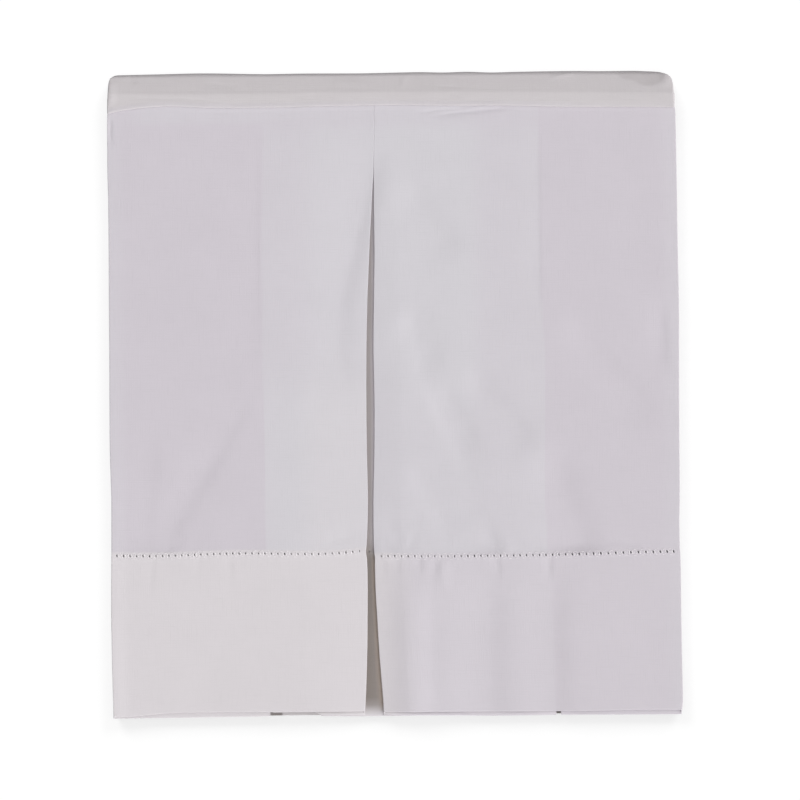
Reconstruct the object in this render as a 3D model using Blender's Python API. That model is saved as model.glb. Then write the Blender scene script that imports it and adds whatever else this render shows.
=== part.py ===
"""A folded bed skirt lying face up: the pleated skirt cloth, and the platform cloth that it hangs from.

X runs across the skirt, Y up it towards the platform cloth, and Z out of its face. Sizes are in millimetres,
and MM turns them into Blender's metres. Each cloth is one sheet: a grid of points on its middle surface,
to which a Solidify modifier gives the cloth's thickness.
"""

from collections import namedtuple
from math import cos, exp, hypot, pi, sin

import bpy
from mathutils import Vector

MM = 0.001

# Cloth
SHEET = 1.0  # one layer of cloth
HEM_SHEET = 1.25  # the skirt where its hem is turned up
GAP = 0.35  # least air between two layers
LAYER = SHEET + GAP

# Heights of the platform cloth's middle surface
PLATFORM_BACK = 0.5 * SHEET
PLATFORM_WING = PLATFORM_BACK + LAYER
PLATFORM_FRONT_WING = PLATFORM_WING + LAYER
PLATFORM_BAND = 7.25
WING_ROLL_Z = 4.4  # the front wings rise to here before they roll over, so that their own turn isn't tight

# Heights of the undersides of the skirt's layers
UNDERSIDES = {
    "wing": PLATFORM_WING + 0.5 * SHEET + GAP,
    "underlay": SHEET + GAP,
    "return": 3.1,
    "front": 5.4,
}

# Places up the skirt
HEM_TOP = -98.5  # the hemstitched line
HEM_BOTTOM = -199.7  # of the front
SEAM = 181.0
ALLOWANCE = 9.5  # the skirt runs this far up under the platform cloth
HEM_STEP = 4.0  # the cloth thickens over this length at the hem's top

# Places across the skirt
LEFT_WING_END = -86.0
LEFT_WING_END_LOW = -79.6  # at the hem's bottom, where the wing has swung up to the pleat
RIGHT_WING_END = 103.0

# Soft shape
LOFT_REACH = 24.0  # how far from the slot its lofted edges lie down
SIDE_SAG = 0.5  # the front lies this much lower at its sides
SAG_START = 100.0
SAG_END = 165.0
WING_RISE_START = 140.0  # from here up the wings climb over the platform cloth's front wings
WING_RISE_END = 176.5
SAG_FADE_START = 110.0

# The platform cloth's roll over the top, and its back
ROLL_Y = 197.8  # centre of the roll
BACK_END = -200.6
ROLL_STEPS = 8
FRONT_STEPS = 4
WING_BULB_START = 0.7  # how far up the front the wings start to rise, past the skirt's top edge
BACK_ROWS = (192.0, 178.0, 120.0, 40.0, -40.0, -120.0, -185.0, BACK_END)

COLOURS = {"skirt": (0.63, 0.61, 0.63), "platform": (0.56, 0.53, 0.54)}
ROUGHNESS = 0.9

# A row up the skirt: its sides, the slot between its front panels, the pleat's folds behind them,
# and how far the slot's edges stand off the layers below.
Row = namedtuple("Row", "y left right slot_left slot_right pleat_left pleat_right loft")
SKIRT_ROWS = (
    Row(-199.7, -177.7, 178.2, -19.9, -7.8, -77.6, 99.7, 1.3),
    Row(-194.0, -177.7, 179.0, -19.7, -8.1, -77.8, 99.4, 1.3),
    Row(-177.0, -178.1, 178.8, -19.1, -8.8, -78.5, 98.6, 1.2),
    Row(-158.0, -178.4, 178.6, -18.4, -10.0, -79.3, 97.9, 1.2),
    Row(-138.0, -178.6, 178.4, -18.0, -10.9, -80.1, 97.2, 1.1),
    Row(-119.0, -178.5, 178.3, -17.7, -11.6, -80.8, 96.6, 1.1),
    Row(-105.0, -178.3, 178.2, -18.0, -12.0, -81.1, 96.4, 1.2),
    Row(-100.5, -178.2, 177.9, -18.5, -12.1, -81.2, 96.0, 1.2),
    Row(-96.5, -178.2, 177.7, -18.4, -12.6, -81.3, 95.4, 1.2),
    Row(-82.0, -178.1, 177.5, -17.6, -13.2, -81.4, 94.3, 1.1),
    Row(-64.0, -178.0, 178.0, -17.2, -13.1, -81.4, 93.9, 1.0),
    Row(-35.0, -178.7, 178.0, -17.6, -12.5, -81.5, 94.1, 1.1),
    Row(-4.0, -178.7, 178.0, -17.7, -12.3, -81.9, 94.4, 1.1),
    Row(28.0, -178.6, 178.2, -17.4, -12.6, -82.3, 94.4, 1.0),
    Row(59.0, -178.6, 178.3, -16.6, -12.0, -82.6, 92.5, 0.9),
    Row(88.0, -178.5, 177.9, -15.2, -11.6, -82.5, 91.7, 0.7),
    Row(110.0, -178.5, 177.7, -14.0, -11.7, -82.3, 91.6, 0.5),
    Row(126.0, -178.6, 177.6, -13.1, -11.8, -82.2, 91.6, 0.3),
    Row(138.0, -178.9, 177.5, -12.2, -11.8, -82.0, 91.6, 0.1),
    Row(154.0, -178.9, 177.3, -12.0, -11.6, -81.9, 91.7, 0.0),
    Row(167.0, -178.9, 177.1, -11.8, -11.4, -81.8, 91.7, 0.0),
    Row(174.0, -178.6, 176.9, -11.7, -11.3, -81.7, 91.7, 0.0),
    Row(177.0, -177.5, 175.8, -11.7, -11.3, -81.7, 91.7, 0.0),
    Row(SEAM + ALLOWANCE, -176.85, 174.5, -11.7, -11.3, -81.7, 91.7, 0.0),
)

# The skirt's layers from left to right as the cloth runs, each turning back on the one before it.
Run = namedtuple("Run", "layer points hem_bottom")
SKIRT_RUNS = (
    Run("wing", 5, -201.3),
    Run("front", 16, HEM_BOTTOM),
    Run("return", 5, -200.5),
    Run("underlay", 9, -201.0),
    Run("return", 6, -200.8),
    Run("front", 20, HEM_BOTTOM),
    Run("wing", 5, -201.4),
)
FOLD_POINTS = 5

# Soft folds of the front, each a ridge from one end to the other that dies away across its width.
Ridge = namedtuple("Ridge", "name x1 y1 x2 y2 width rise")
RIDGES = (
    Ridge("left drag", -97.0, 0.0, -143.0, -90.0, 13.0, 0.6),
    Ridge("right drag", 47.0, 22.0, 96.0, -50.0, 14.0, 0.5),
    Ridge("right side drag", 118.0, 42.0, 162.0, -6.0, 14.0, 0.5),
    Ridge("hem wave by the slot", 16.0, -196.0, 15.0, -112.0, 9.0, 0.6),
    Ridge("hem wave", 41.0, -196.0, 40.0, -112.0, 10.0, 0.6),
    Ridge("outer hem wave", 87.0, -196.0, 85.0, -112.0, 10.0, 0.6),
)

# The edge of the platform cloth along the seam, which droops towards the sides.
EdgePoint = namedtuple("EdgePoint", "x y")
SEAM_LINE = (
    EdgePoint(-178.0, 178.3),
    EdgePoint(-155.0, 181.2),
    EdgePoint(-139.0, 181.8),
    EdgePoint(-115.0, 180.8),
    EdgePoint(-80.0, 180.7),
    EdgePoint(5.0, 181.6),
    EdgePoint(67.0, 180.9),
    EdgePoint(105.0, 179.9),
    EdgePoint(177.0, 179.0),
)
TOP_LINE = (
    EdgePoint(-178.0, -0.4),
    EdgePoint(-125.0, 0.4),
    EdgePoint(-80.0, -0.3),
    EdgePoint(-25.0, -0.2),
    EdgePoint(17.0, 0.3),
    EdgePoint(62.0, -0.3),
    EdgePoint(115.0, 0.3),
    EdgePoint(177.0, -0.3),
)

# The platform cloth's sides, by how far along it they are: 0 at the seam, 1 and 2 where its roll starts
# and ends, and 3 at its far end.
Side = namedtuple("Side", "along left right")
PLATFORM_SIDES = (
    Side(0.0, -178.9, 177.2),
    Side(0.6, -178.4, 176.4),
    Side(1.0, -177.5, 174.0),
    Side(1.5, -176.3, 171.4),
    Side(2.0, -176.2, 173.0),
    Side(2.1, -176.2, 175.6),
    Side(3.0, -176.2, 176.2),
)
PLATFORM_MAIN_POINTS = 15
PLATFORM_WING_POINTS = 3


def clear_scene():
    for thing in list(bpy.data.objects):
        bpy.data.objects.remove(thing, do_unlink=True)


def blend(a, b, share):
    return a + (b - a) * share


def ease(value, start, end):
    """0 at start and 1 at end, with no corner at either."""
    share = min(max((value - start) / (end - start), 0.0), 1.0)
    return share * share * (3.0 - 2.0 * share)


def between(rows, key, value, field):
    """A table's field at value, eased between the two rows whose keys lie on each side of it."""
    for lower, upper in zip(rows, rows[1:]):
        if value <= getattr(upper, key):
            share = ease(value, getattr(lower, key), getattr(upper, key))
            return blend(getattr(lower, field), getattr(upper, field), share)
    return getattr(rows[-1], field)


def spread(start, end, count):
    return [blend(start, end, i / (count - 1)) for i in range(count)]


def thickness(y):
    return blend(HEM_SHEET, SHEET, ease(y, HEM_TOP - HEM_STEP, HEM_TOP + HEM_STEP))


# The skirt


def ridge_height(ridge, x, y):
    """How far this ridge lifts the cloth at a point, by the distance to the line along its top."""
    run_x, run_y = ridge.x2 - ridge.x1, ridge.y2 - ridge.y1
    share = ((x - ridge.x1) * run_x + (y - ridge.y1) * run_y) / hypot(run_x, run_y) ** 2
    share = min(max(share, 0.0), 1.0)
    away = hypot(x - blend(ridge.x1, ridge.x2, share), y - blend(ridge.y1, ridge.y2, share))
    return ridge.rise * exp(-((away / ridge.width) ** 2))


def front_height(x, row):
    """The front's middle surface: lofted beside the slot, lower at the sides and raised along its soft folds."""
    from_slot = min(abs(x - row.slot_left), abs(x - row.slot_right))
    lofted = row.loft * (1.0 - ease(from_slot, 0.0, LOFT_REACH))
    fading = 1.0 - ease(row.y, SAG_FADE_START, WING_RISE_END)
    sagging = SIDE_SAG * ease(abs(x), SAG_START, SAG_END) * fading
    ridges = sum(ridge_height(ridge, x, row.y) for ridge in RIDGES)
    return UNDERSIDES["front"] + 0.5 * thickness(row.y) + lofted - sagging + ridges


def run_height(run, x, row):
    if run.layer == "front":
        return front_height(x, row)
    height = UNDERSIDES[run.layer] + 0.5 * thickness(row.y)
    if run.layer == "wing":
        height += LAYER * ease(row.y, WING_RISE_START, WING_RISE_END)
    return height


def run_y(run, row):
    """The inner layers hang a little lower than the front at the hem, and level with it at its top."""
    return row.y + (run.hem_bottom - HEM_BOTTOM) * (1.0 - ease(row.y, HEM_BOTTOM, HEM_TOP))


def fold(last, first, direction, reach):
    """Points round a fold, from the end of one run to the start of the next, bulging in the first's direction."""
    points = []
    for i in range(1, FOLD_POINTS + 1):
        angle = pi * i / (FOLD_POINTS + 1)
        point = blend(last, first, 0.5 - 0.5 * cos(angle))
        points.append(point + Vector((direction * reach * sin(angle), 0.0, 0.0)))
    return points


def left_wing_end(row):
    return blend(LEFT_WING_END_LOW, LEFT_WING_END, ease(row.y, HEM_BOTTOM, HEM_TOP))


def skirt_section(row):
    """The skirt's middle surface at one row, from its left wing's free edge to its right wing's."""
    outer = (row.left, row.slot_left, row.pleat_left, row.pleat_right, row.slot_right, row.right)
    directions = (-1, 1, -1, 1, -1, 1, -1)
    ends = [left_wing_end(row)]
    reaches = []
    for x, before, after, direction in zip(outer, SKIRT_RUNS, SKIRT_RUNS[1:], directions):
        reach = 0.5 * abs(run_height(before, x, row) - run_height(after, x, row))
        reaches.append(reach)
        ends.append(x - direction * (reach + 0.5 * thickness(row.y)))
    ends.append(RIGHT_WING_END)
    runs = []
    for run, start, end in zip(SKIRT_RUNS, ends, ends[1:]):
        xs = spread(start, end, run.points)
        runs.append([Vector((x, run_y(run, row), run_height(run, x, row))) for x in xs])
    section = runs[0]
    for points, reach, direction in zip(runs[1:], reaches, directions):
        section = section + fold(section[-1], points[0], direction, reach) + points
    return section


# The platform cloth


def along_path():
    """Places along the platform cloth, from 0 at the seam to 3 at its far end."""
    front = spread(0.0, 1.0, FRONT_STEPS + 1)
    roll = spread(1.0, 2.0, ROLL_STEPS + 1)[1:]
    back = [2.0 + (ROLL_Y - y) / (ROLL_Y - BACK_END) for y in BACK_ROWS]
    return front + roll + back


def path_point(along, x, front_z, back_z, lift):
    """The point at this place on a line that runs up the front, rolls over the top and runs down the back."""
    radius = 0.5 * (front_z - back_z)
    if along <= 1.0:
        return Vector((x, blend(between(SEAM_LINE, "x", x, "y"), ROLL_Y, along), front_z))
    if along < 2.0:
        angle = pi * (along - 1.0)
        return Vector((x, ROLL_Y + (radius + lift) * sin(angle), back_z + radius * (1.0 + cos(angle))))
    return Vector((x, blend(ROLL_Y, BACK_END, along - 2.0), back_z))


def main_point(along, x):
    return path_point(along, x, PLATFORM_BAND, PLATFORM_BACK, between(TOP_LINE, "x", x, "y"))


def wing_point(along, x):
    front_z = blend(PLATFORM_FRONT_WING, WING_ROLL_Z, ease(along, WING_BULB_START, 1.0))
    return path_point(along, x, front_z, PLATFORM_WING, 0.0)


def platform_section(along):
    """The platform cloth across one place on its path: a wing, its fold, the wide face, a fold and a wing."""
    left = between(PLATFORM_SIDES, "along", along, "left")
    right = between(PLATFORM_SIDES, "along", along, "right")
    reach = 0.5 * (main_point(along, left) - wing_point(along, left)).length
    left_centre = left + reach + 0.5 * SHEET
    right_centre = right - reach - 0.5 * SHEET
    left_wing = [wing_point(along, x) for x in spread(LEFT_WING_END, left_centre, PLATFORM_WING_POINTS)]
    main = [main_point(along, x) for x in spread(left_centre, right_centre, PLATFORM_MAIN_POINTS)]
    right_wing = [wing_point(along, x) for x in spread(right_centre, RIGHT_WING_END, PLATFORM_WING_POINTS)]
    left_fold = fold(left_wing[-1], main[0], -1, reach)
    right_fold = fold(main[-1], right_wing[0], 1, reach)
    return left_wing + left_fold + main + right_fold + right_wing


# Objects


def cloth_material(name):
    material = bpy.data.materials.new(name + " cloth")
    material.use_nodes = True
    shader = material.node_tree.nodes["Principled BSDF"]
    shader.inputs["Base Color"].default_value = (*COLOURS[name], 1.0)
    shader.inputs["Roughness"].default_value = ROUGHNESS
    shader.inputs["Metallic"].default_value = 0.0
    return material


def cloth_object(name, sections, shares):
    """One sheet whose middle surface passes through the sections. shares is each one's part of HEM_SHEET."""
    across = len(sections[0])
    points = [point * MM for section in sections for point in section]
    faces = []
    for j in range(len(sections) - 1):
        for i in range(across - 1):
            corner = j * across + i
            faces.append((corner, corner + 1, corner + across + 1, corner + across))
    mesh = bpy.data.meshes.new(name)
    mesh.from_pydata(points, [], faces)
    mesh.shade_smooth()
    cloth = bpy.data.objects.new(name, mesh)
    bpy.context.scene.collection.objects.link(cloth)
    group = cloth.vertex_groups.new(name="thickness")
    for j, share in enumerate(shares):
        group.add(list(range(j * across, (j + 1) * across)), share, "REPLACE")
    solidify = cloth.modifiers.new("cloth thickness", "SOLIDIFY")
    solidify.thickness = HEM_SHEET * MM
    solidify.offset = 0.0
    solidify.vertex_group = group.name
    mesh.materials.append(cloth_material(name))
    return cloth


def add_skirt():
    sections = [skirt_section(row) for row in SKIRT_ROWS]
    shares = [thickness(row.y) / HEM_SHEET for row in SKIRT_ROWS]
    return cloth_object("skirt", sections, shares)


def add_platform():
    sections = [platform_section(along) for along in along_path()]
    return cloth_object("platform", sections, [SHEET / HEM_SHEET] * len(sections))


clear_scene()
add_skirt()
add_platform()
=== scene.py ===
# %% [markdown]
# # A folded bed skirt
# The real thing is a long strip of crisp cotton percale with a box pleat in it. It has a deep hem with a
# row of hemstitch, and it is sewn to a plainer cloth, the platform, that lies under the mattress. For the
# shelf it is folded behind itself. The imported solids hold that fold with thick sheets. Here each solid is
# replaced by a fine one: the same runs and folds, with the creases, drawn-thread holes, hems and threads
# that a stand-in lacks. X runs across the skirt, Y up it towards the platform cloth and Z out of its
# face, as in the frame.

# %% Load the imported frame
from collections import namedtuple
from math import cos, exp, hypot, pi, radians, sin

import bpy
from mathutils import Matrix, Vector, noise


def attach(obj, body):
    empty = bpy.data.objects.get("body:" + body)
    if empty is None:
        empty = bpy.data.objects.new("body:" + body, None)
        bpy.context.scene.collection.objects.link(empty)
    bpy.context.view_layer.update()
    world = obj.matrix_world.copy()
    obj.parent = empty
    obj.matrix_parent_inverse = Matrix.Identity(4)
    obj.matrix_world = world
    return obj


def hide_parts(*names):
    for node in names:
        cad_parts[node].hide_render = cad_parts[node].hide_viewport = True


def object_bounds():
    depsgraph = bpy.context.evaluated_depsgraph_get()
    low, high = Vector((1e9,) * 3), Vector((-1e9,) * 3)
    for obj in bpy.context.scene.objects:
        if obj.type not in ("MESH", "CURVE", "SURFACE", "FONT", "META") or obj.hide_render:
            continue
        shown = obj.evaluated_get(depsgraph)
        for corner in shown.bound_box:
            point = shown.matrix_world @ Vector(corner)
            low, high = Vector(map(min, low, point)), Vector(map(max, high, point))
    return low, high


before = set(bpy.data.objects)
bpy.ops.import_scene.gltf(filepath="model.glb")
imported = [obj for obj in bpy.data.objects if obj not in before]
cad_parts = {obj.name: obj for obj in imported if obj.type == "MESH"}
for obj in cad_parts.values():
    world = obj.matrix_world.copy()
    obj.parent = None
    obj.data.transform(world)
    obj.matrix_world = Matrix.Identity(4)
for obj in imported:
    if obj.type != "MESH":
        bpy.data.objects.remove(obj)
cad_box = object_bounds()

MM = 0.001
cad_size = [(high - low) / MM for low, high in zip(*cad_box)]
print("packed size in mm:", [round(length, 1) for length in cad_size])

# %% [markdown]
# ## Small tools
# Cloth has no corners in its shape, so nearly every size here is eased from one value to the next. A
# table of measurements is read with a smooth curve through its rows, so that an edge doesn't show where
# they are.

# %% Easing and reading tables
def blend(a, b, share):
    return a + (b - a) * share


def ease(value, start, end):
    """0 at start and 1 at end, with no corner at either."""
    share = min(max((value - start) / (end - start), 0.0), 1.0)
    return share * share * (3.0 - 2.0 * share)


def bell(off, width):
    """1 in the middle, with soft flanks of this width."""
    return exp(-((off / width) ** 2))


def spread(start, end, count):
    return [blend(start, end, i / (count - 1)) for i in range(count)]


def read(rows, key, value, field):
    """A table's field at value, on a smooth curve through the rows. The key grows from row to row."""
    keys = [getattr(row, key) for row in rows]
    values = [getattr(row, field) for row in rows]
    if value <= keys[0]:
        return values[0]
    if value >= keys[-1]:
        return values[-1]
    i = next(i for i in range(len(keys) - 1) if value <= keys[i + 1])
    step = keys[i + 1] - keys[i]
    slopes = []
    for k in (i, i + 1):
        before, after = max(k - 1, 0), min(k + 1, len(keys) - 1)
        slopes.append((values[after] - values[before]) / (keys[after] - keys[before]) * step)
    t = (value - keys[i]) / step
    return (
        values[i] * (1.0 + 2.0 * t) * (1.0 - t) ** 2
        + slopes[0] * t * (1.0 - t) ** 2
        + values[i + 1] * t * t * (3.0 - 2.0 * t)
        + slopes[1] * t * t * (t - 1.0)
    )


print("halfway eased:", ease(0.5, 0.0, 1.0))

# %% [markdown]
# ## The measured rows
# One table row is one level up the skirt: its side folds, the two edges of the slot between the front
# panels, the hidden pleat's folds, and how far the face sinks to the slot's edges. They are the solids'
# rows, repeated here because this script can't read theirs. They are finer near the seam, and measured
# once more at the slot's right edge, which moved by up to 1.4 mm, and at the right side fold, which moved
# by less than 0.5 mm.

# %% Rows up the skirt
Row = namedtuple("Row", "y left right slot_left slot_right pleat_left pleat_right sink")
ROWS = (
    Row(-199.7, -177.7, 178.7, -20.0, -8.3, -77.6, 99.7, 1.5),
    Row(-194.0, -177.7, 179.4, -19.6, -8.5, -77.8, 99.4, 1.5),
    Row(-177.0, -178.1, 179.2, -18.8, -9.8, -78.5, 98.6, 1.4),
    Row(-158.0, -178.4, 179.0, -18.2, -11.1, -79.3, 97.9, 1.4),
    Row(-138.0, -178.6, 178.8, -17.9, -12.1, -80.1, 97.2, 1.3),
    Row(-119.0, -178.5, 178.7, -17.7, -13.0, -80.8, 96.6, 1.2),
    Row(-105.0, -178.3, 178.6, -18.0, -13.2, -81.1, 96.4, 1.3),
    Row(-100.5, -178.2, 178.4, -18.6, -13.2, -81.2, 96.0, 1.3),
    Row(-96.5, -178.2, 178.2, -18.3, -13.6, -81.3, 95.4, 1.3),
    Row(-82.0, -178.1, 178.0, -17.5, -13.9, -81.4, 94.3, 1.1),
    Row(-64.0, -178.0, 178.4, -17.2, -13.8, -81.4, 93.9, 1.0),
    Row(-35.0, -178.7, 178.4, -17.6, -13.0, -81.5, 94.1, 1.1),
    Row(-4.0, -178.7, 178.4, -17.7, -12.7, -81.9, 94.4, 1.1),
    Row(28.0, -178.6, 178.6, -17.4, -13.1, -82.3, 94.4, 1.0),
    Row(59.0, -178.6, 178.7, -16.6, -12.6, -82.6, 92.5, 0.9),
    Row(88.0, -178.5, 178.3, -15.2, -12.0, -82.5, 91.7, 0.7),
    Row(110.0, -178.5, 178.1, -14.0, -12.1, -82.3, 91.6, 0.5),
    Row(126.0, -178.6, 178.0, -13.1, -12.1, -82.2, 91.6, 0.3),
    Row(138.0, -178.9, 177.9, -12.2, -12.0, -82.0, 91.6, 0.1),
    Row(154.0, -178.9, 177.7, -11.9, -11.9, -81.9, 91.7, 0.0),
    Row(167.0, -178.9, 177.5, -11.7, -11.7, -81.8, 91.7, 0.0),
    Row(175.0, -178.8, 177.4, -11.6, -11.6, -81.7, 91.7, 0.0),
    Row(179.0, -178.3, 177.0, -11.5, -11.5, -81.7, 91.7, 0.0),
    Row(182.0, -177.8, 176.3, -11.5, -11.5, -81.7, 91.7, 0.0),
    Row(190.5, -176.8, 174.8, -11.5, -11.5, -81.7, 91.7, 0.0),
)
HEM_BOTTOM = ROWS[0].y
SKIRT_TOP = ROWS[-1].y
HEM_TOP = -98.5
LEFT_WING_END = -86.0
LEFT_WING_END_LOW = -79.6  # at the hem's bottom, where the wing has swung up to the pleat
RIGHT_WING_END = 103.0


def row_at(y):
    """The whole row of sizes at one level up the skirt."""
    return Row(y, *[read(ROWS, "y", y, field) for field in Row._fields[1:]])


print("slot at its widest:", round(ROWS[0].slot_right - ROWS[0].slot_left, 1), "mm")

# %% [markdown]
# ## Layers
# Percale is a quarter of a millimetre thick, so the sheets here are thinner than the solids' and keep to
# the heights of their middles. The face stays where the solid's face is. The hem is the same cloth turned
# up inside itself, so it has a second ply behind it.

# %% Cloth and layer heights, in mm
CLOTH = 0.3
HEM_PLY = 0.45  # from the hem's outer ply to its inner one
LAYER_Z = {"wing": 2.9, "underlay": 2.3, "return": 3.3, "front": 6.2}
UNDERLAY_TOP = 4.7  # the underlay stands up into the slot
BULGE_REACH = 11.0  # and sinks away on both sides of it over this much
UNDERLAY_GAP = 0.42  # close under the returns
BOTTOM_LIFT = {"wing": 1.0, "return": 0.3}  # the back layers crowd up under the front at the bottom
WING_CLIMB = 1.35  # the wings climb over the platform cloth's own wings near the seam
WING_CLIMB_START, WING_CLIMB_END = 140.0, 176.5
SIDE_SAG, SAG_START, SAG_END = 0.2, 100.0, 165.0
SideRow = namedtuple("SideRow", "y left right")
SINK_REACH = (  # how far from the slot the face starts to sink to it
    SideRow(-199.7, 38.0, 17.0),
    SideRow(-100.0, 42.0, 18.0),
    SideRow(0.0, 42.0, 17.0),
    SideRow(60.0, 26.0, 16.0),
    SideRow(150.0, 20.0, 14.0),
)
SINK_POWER = 1.3  # above 1, so that the slope starts softly
RIM_RISE = (  # how far the face rises over its last millimetres to each side fold, or sinks if below zero
    SideRow(-199.7, 0.75, 0.0),
    SideRow(-100.0, 0.5, -0.05),
    SideRow(0.0, 0.2, -0.12),
    SideRow(120.0, 0.08, -0.28),
    SideRow(170.0, 0.1, -0.2),
)
RIM_WIDTH = 11.0
HEM_FOLD = 1.35  # between the front and its return, beside the slot
PRESSED_FOLD = 0.6  # the same above the hem
CLOSED_FOLD = 0.36  # and where the slot is shut
CLOSED_LIFT = 0.12  # the left front lies this much over the right one there
FOLD_REACH = 0.28  # how far a fold bulges, as a share of half its height: 1 would be round
SIDE_FOLD_REACH = 0.14  # the same for the deep folds at the sides
print("middles of the layers, in mm above the table:", LAYER_Z)

# %% [markdown]
# ## Creases
# A pressed cloth that has been handled has a few soft folds: drags that run from the pleat to the side,
# waves in the hem, and small puckers where the hemstitch pulls. Each is a ridge, or a trough where its
# rise is below zero, along a straight line that fades at its ends. Its two flanks may differ, because
# most folds lean. They are placed one by one: a cloth simulation of a tightly pressed fold would only add
# random ripples.

# %% The creases of the face
# A flank's width is on the left or the right of the line, as seen from its start. Where one is much
# narrower, the cloth is steep on that side, and only that side shows as a line.
Crease = namedtuple("Crease", "name x1 y1 x2 y2 left right rise")
FACE_CREASES = (
    Crease("left drag", -90.0, 2.0, -126.0, -66.0, 3.6, 18.0, -0.38),
    Crease("left drag's lower half", -110.0, -34.0, -153.0, -108.0, 3.6, 18.0, -0.4),
    Crease("left drag's shoulder", -104.0, -24.0, -158.0, -106.0, 16.0, 9.0, -0.3),
    Crease("left rim's drag", -150.0, -20.0, -160.0, -110.0, 5.0, 12.0, -0.34),
    Crease("left panel's shoulder", -8.0, 165.0, -36.0, 50.0, 8.0, 24.0, -1.45),
    Crease("the shoulder's lower end", -35.0, 80.0, -36.0, 2.0, 9.0, 22.0, -1.1),
    Crease("pull at the slot", -36.0, 8.0, -16.0, 22.0, 6.0, 3.0, -0.27),
    Crease("left pleat's edge", -84.9, 178.0, -85.6, 20.0, 1.1, 7.0, -0.12),
    Crease("left pleat's shadow", -91.0, 140.0, -92.0, 0.0, 6.0, 14.0, -0.14),
    Crease("right pleat's edge", 90.7, 178.0, 91.0, 30.0, 1.1, 7.0, -0.2),
    Crease("upper drag", 4.0, 134.0, 44.0, 88.0, 6.0, 18.0, -1.05),
    Crease("dimple", 3.0, 50.0, 32.0, 18.0, 6.0, 14.0, -0.9),
    Crease("bright drag's top", 13.4, 64.0, 17.8, -2.0, 14.0, 5.5, -0.3),
    Crease("bright drag", 12.0, 28.0, 53.0, -57.0, 16.0, 6.0, -0.95),
    Crease("middle drag", 28.0, 6.0, 54.0, -34.0, 4.0, 12.0, -0.8),
    Crease("right drag", 43.0, 18.0, 92.0, -36.0, 5.0, 15.0, -1.45),
    Crease("low bright drag", 7.0, -46.0, 38.0, -90.0, 14.0, 4.0, -0.95),
    Crease("low drag", 38.0, -62.0, 70.0, -108.0, 6.0, 14.0, -0.6),
    Crease("right side drag", 106.0, 50.0, 168.0, -21.0, 5.0, 16.0, -1.1),
    Crease("low right drag", 94.0, -28.0, 126.0, -122.0, 11.0, 18.0, -1.55),
    Crease("right rim's dent", 167.0, 58.0, 169.0, 14.0, 3.5, 8.0, -0.6),
    Crease("pull above the hem", 56.0, -80.0, 67.0, -106.0, 3.0, 6.0, -0.5),
    Crease("pull beside the slot", -6.0, -72.0, 5.0, -100.0, 3.5, 7.0, -0.5),
)
print(len(FACE_CREASES), "soft folds above the hem")

# %% The creases of the hem, and the puckers
def creases(name, *rows):
    """Small creases that share a name."""
    return tuple(Crease(name, *row) for row in rows)


HEM_CREASES = (
    Crease("wave by the slot", 9.0, -98.0, 11.0, -250.0, 18.0, 10.0, 1.5),
    Crease("first wave", 22.0, -104.0, 23.0, -250.0, 7.0, 7.0, -0.55),
    Crease("second wave", 58.0, -98.0, 57.0, -250.0, 11.0, 20.0, -1.3),
    Crease("third wave", 97.0, -98.0, 99.0, -250.0, 9.0, 20.0, -1.2),
    Crease("left hem's swell", -118.0, -104.0, -116.0, -250.0, 22.0, 26.0, -0.4),
)
PUCKERS = creases(
    "pucker",
    (-151.5, -99.0, -154.0, -126.0, 1.6, 4.0, -0.2),
    (-123.5, -99.0, -124.0, -113.0, 1.4, 3.0, -0.14),
    (-105.5, -99.0, -101.0, -122.0, 1.5, 4.0, -0.18),
    (-7.5, -101.0, -7.0, -114.0, 1.6, 3.4, -0.2),
    (1.0, -101.0, 2.0, -113.0, 1.5, 3.0, -0.26),
    (15.0, -101.0, 15.4, -113.0, 1.5, 3.2, -0.3),
    (26.0, -102.0, 22.5, -117.0, 2.4, 3.0, -0.24),
    (29.0, -102.0, 30.0, -120.0, 4.4, 3.0, 0.42),
    (63.5, -99.5, 65.0, -116.0, 1.5, 3.6, -0.36),
    (96.5, -99.5, 97.0, -116.0, 1.5, 3.2, -0.36),
    (74.0, -99.0, 66.0, -90.0, 2.4, 2.4, 0.24),
    (6.0, -100.0, 14.0, -86.0, 2.6, 3.0, -0.28),
    (-13.0, -92.0, -4.0, -106.0, 2.4, 2.4, 0.28),
    (-24.0, -89.0, -46.0, -93.0, 1.8, 4.0, -0.28),
    (-132.0, -91.0, -146.0, -98.0, 1.8, 3.0, -0.24),
    (130.0, -90.0, 156.0, -97.0, 2.0, 3.0, -0.32),
)
SEAM_PUCKERS = (
    Crease("long tuck", 20.0, 174.4, 78.0, 179.8, 0.8, 1.6, -0.6),
    Crease("short tuck", 12.0, 176.4, 56.0, 180.2, 0.7, 1.2, -0.4),
    Crease("left corner's tuck", -176.6, 176.0, -176.2, 150.0, 0.9, 1.4, -0.5),
)
print(len(HEM_CREASES), "soft folds in the hem and", len(PUCKERS) + len(SEAM_PUCKERS), "puckers")

# %% The height of a crease
FADE = 0.3  # the share of a crease's length over which it dies away at each end
FLANK_END = 2.6  # widths from the line, past which nothing is left of a flank


def crease_height(crease, x, y):
    """How far one crease lifts the cloth at a point, by the distance from the line along its top."""
    run_x, run_y = crease.x2 - crease.x1, crease.y2 - crease.y1
    length = hypot(run_x, run_y)
    share = ((x - crease.x1) * run_x + (y - crease.y1) * run_y) / length**2
    if share <= 0.0 or share >= 1.0:
        return 0.0
    off = (run_x * (y - crease.y1) - run_y * (x - crease.x1)) / length
    width = crease.left if off > 0.0 else crease.right
    if abs(off) > FLANK_END * width:
        return 0.0
    return crease.rise * bell(off, width) * ease(share, 0.0, FADE) * ease(1.0 - share, 0.0, FADE)


def creases_at(group, x, y):
    return sum(crease_height(crease, x, y) for crease in group)


print("a crease dies away over", FADE, "of its length and", FLANK_END, "widths to each side")

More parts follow.
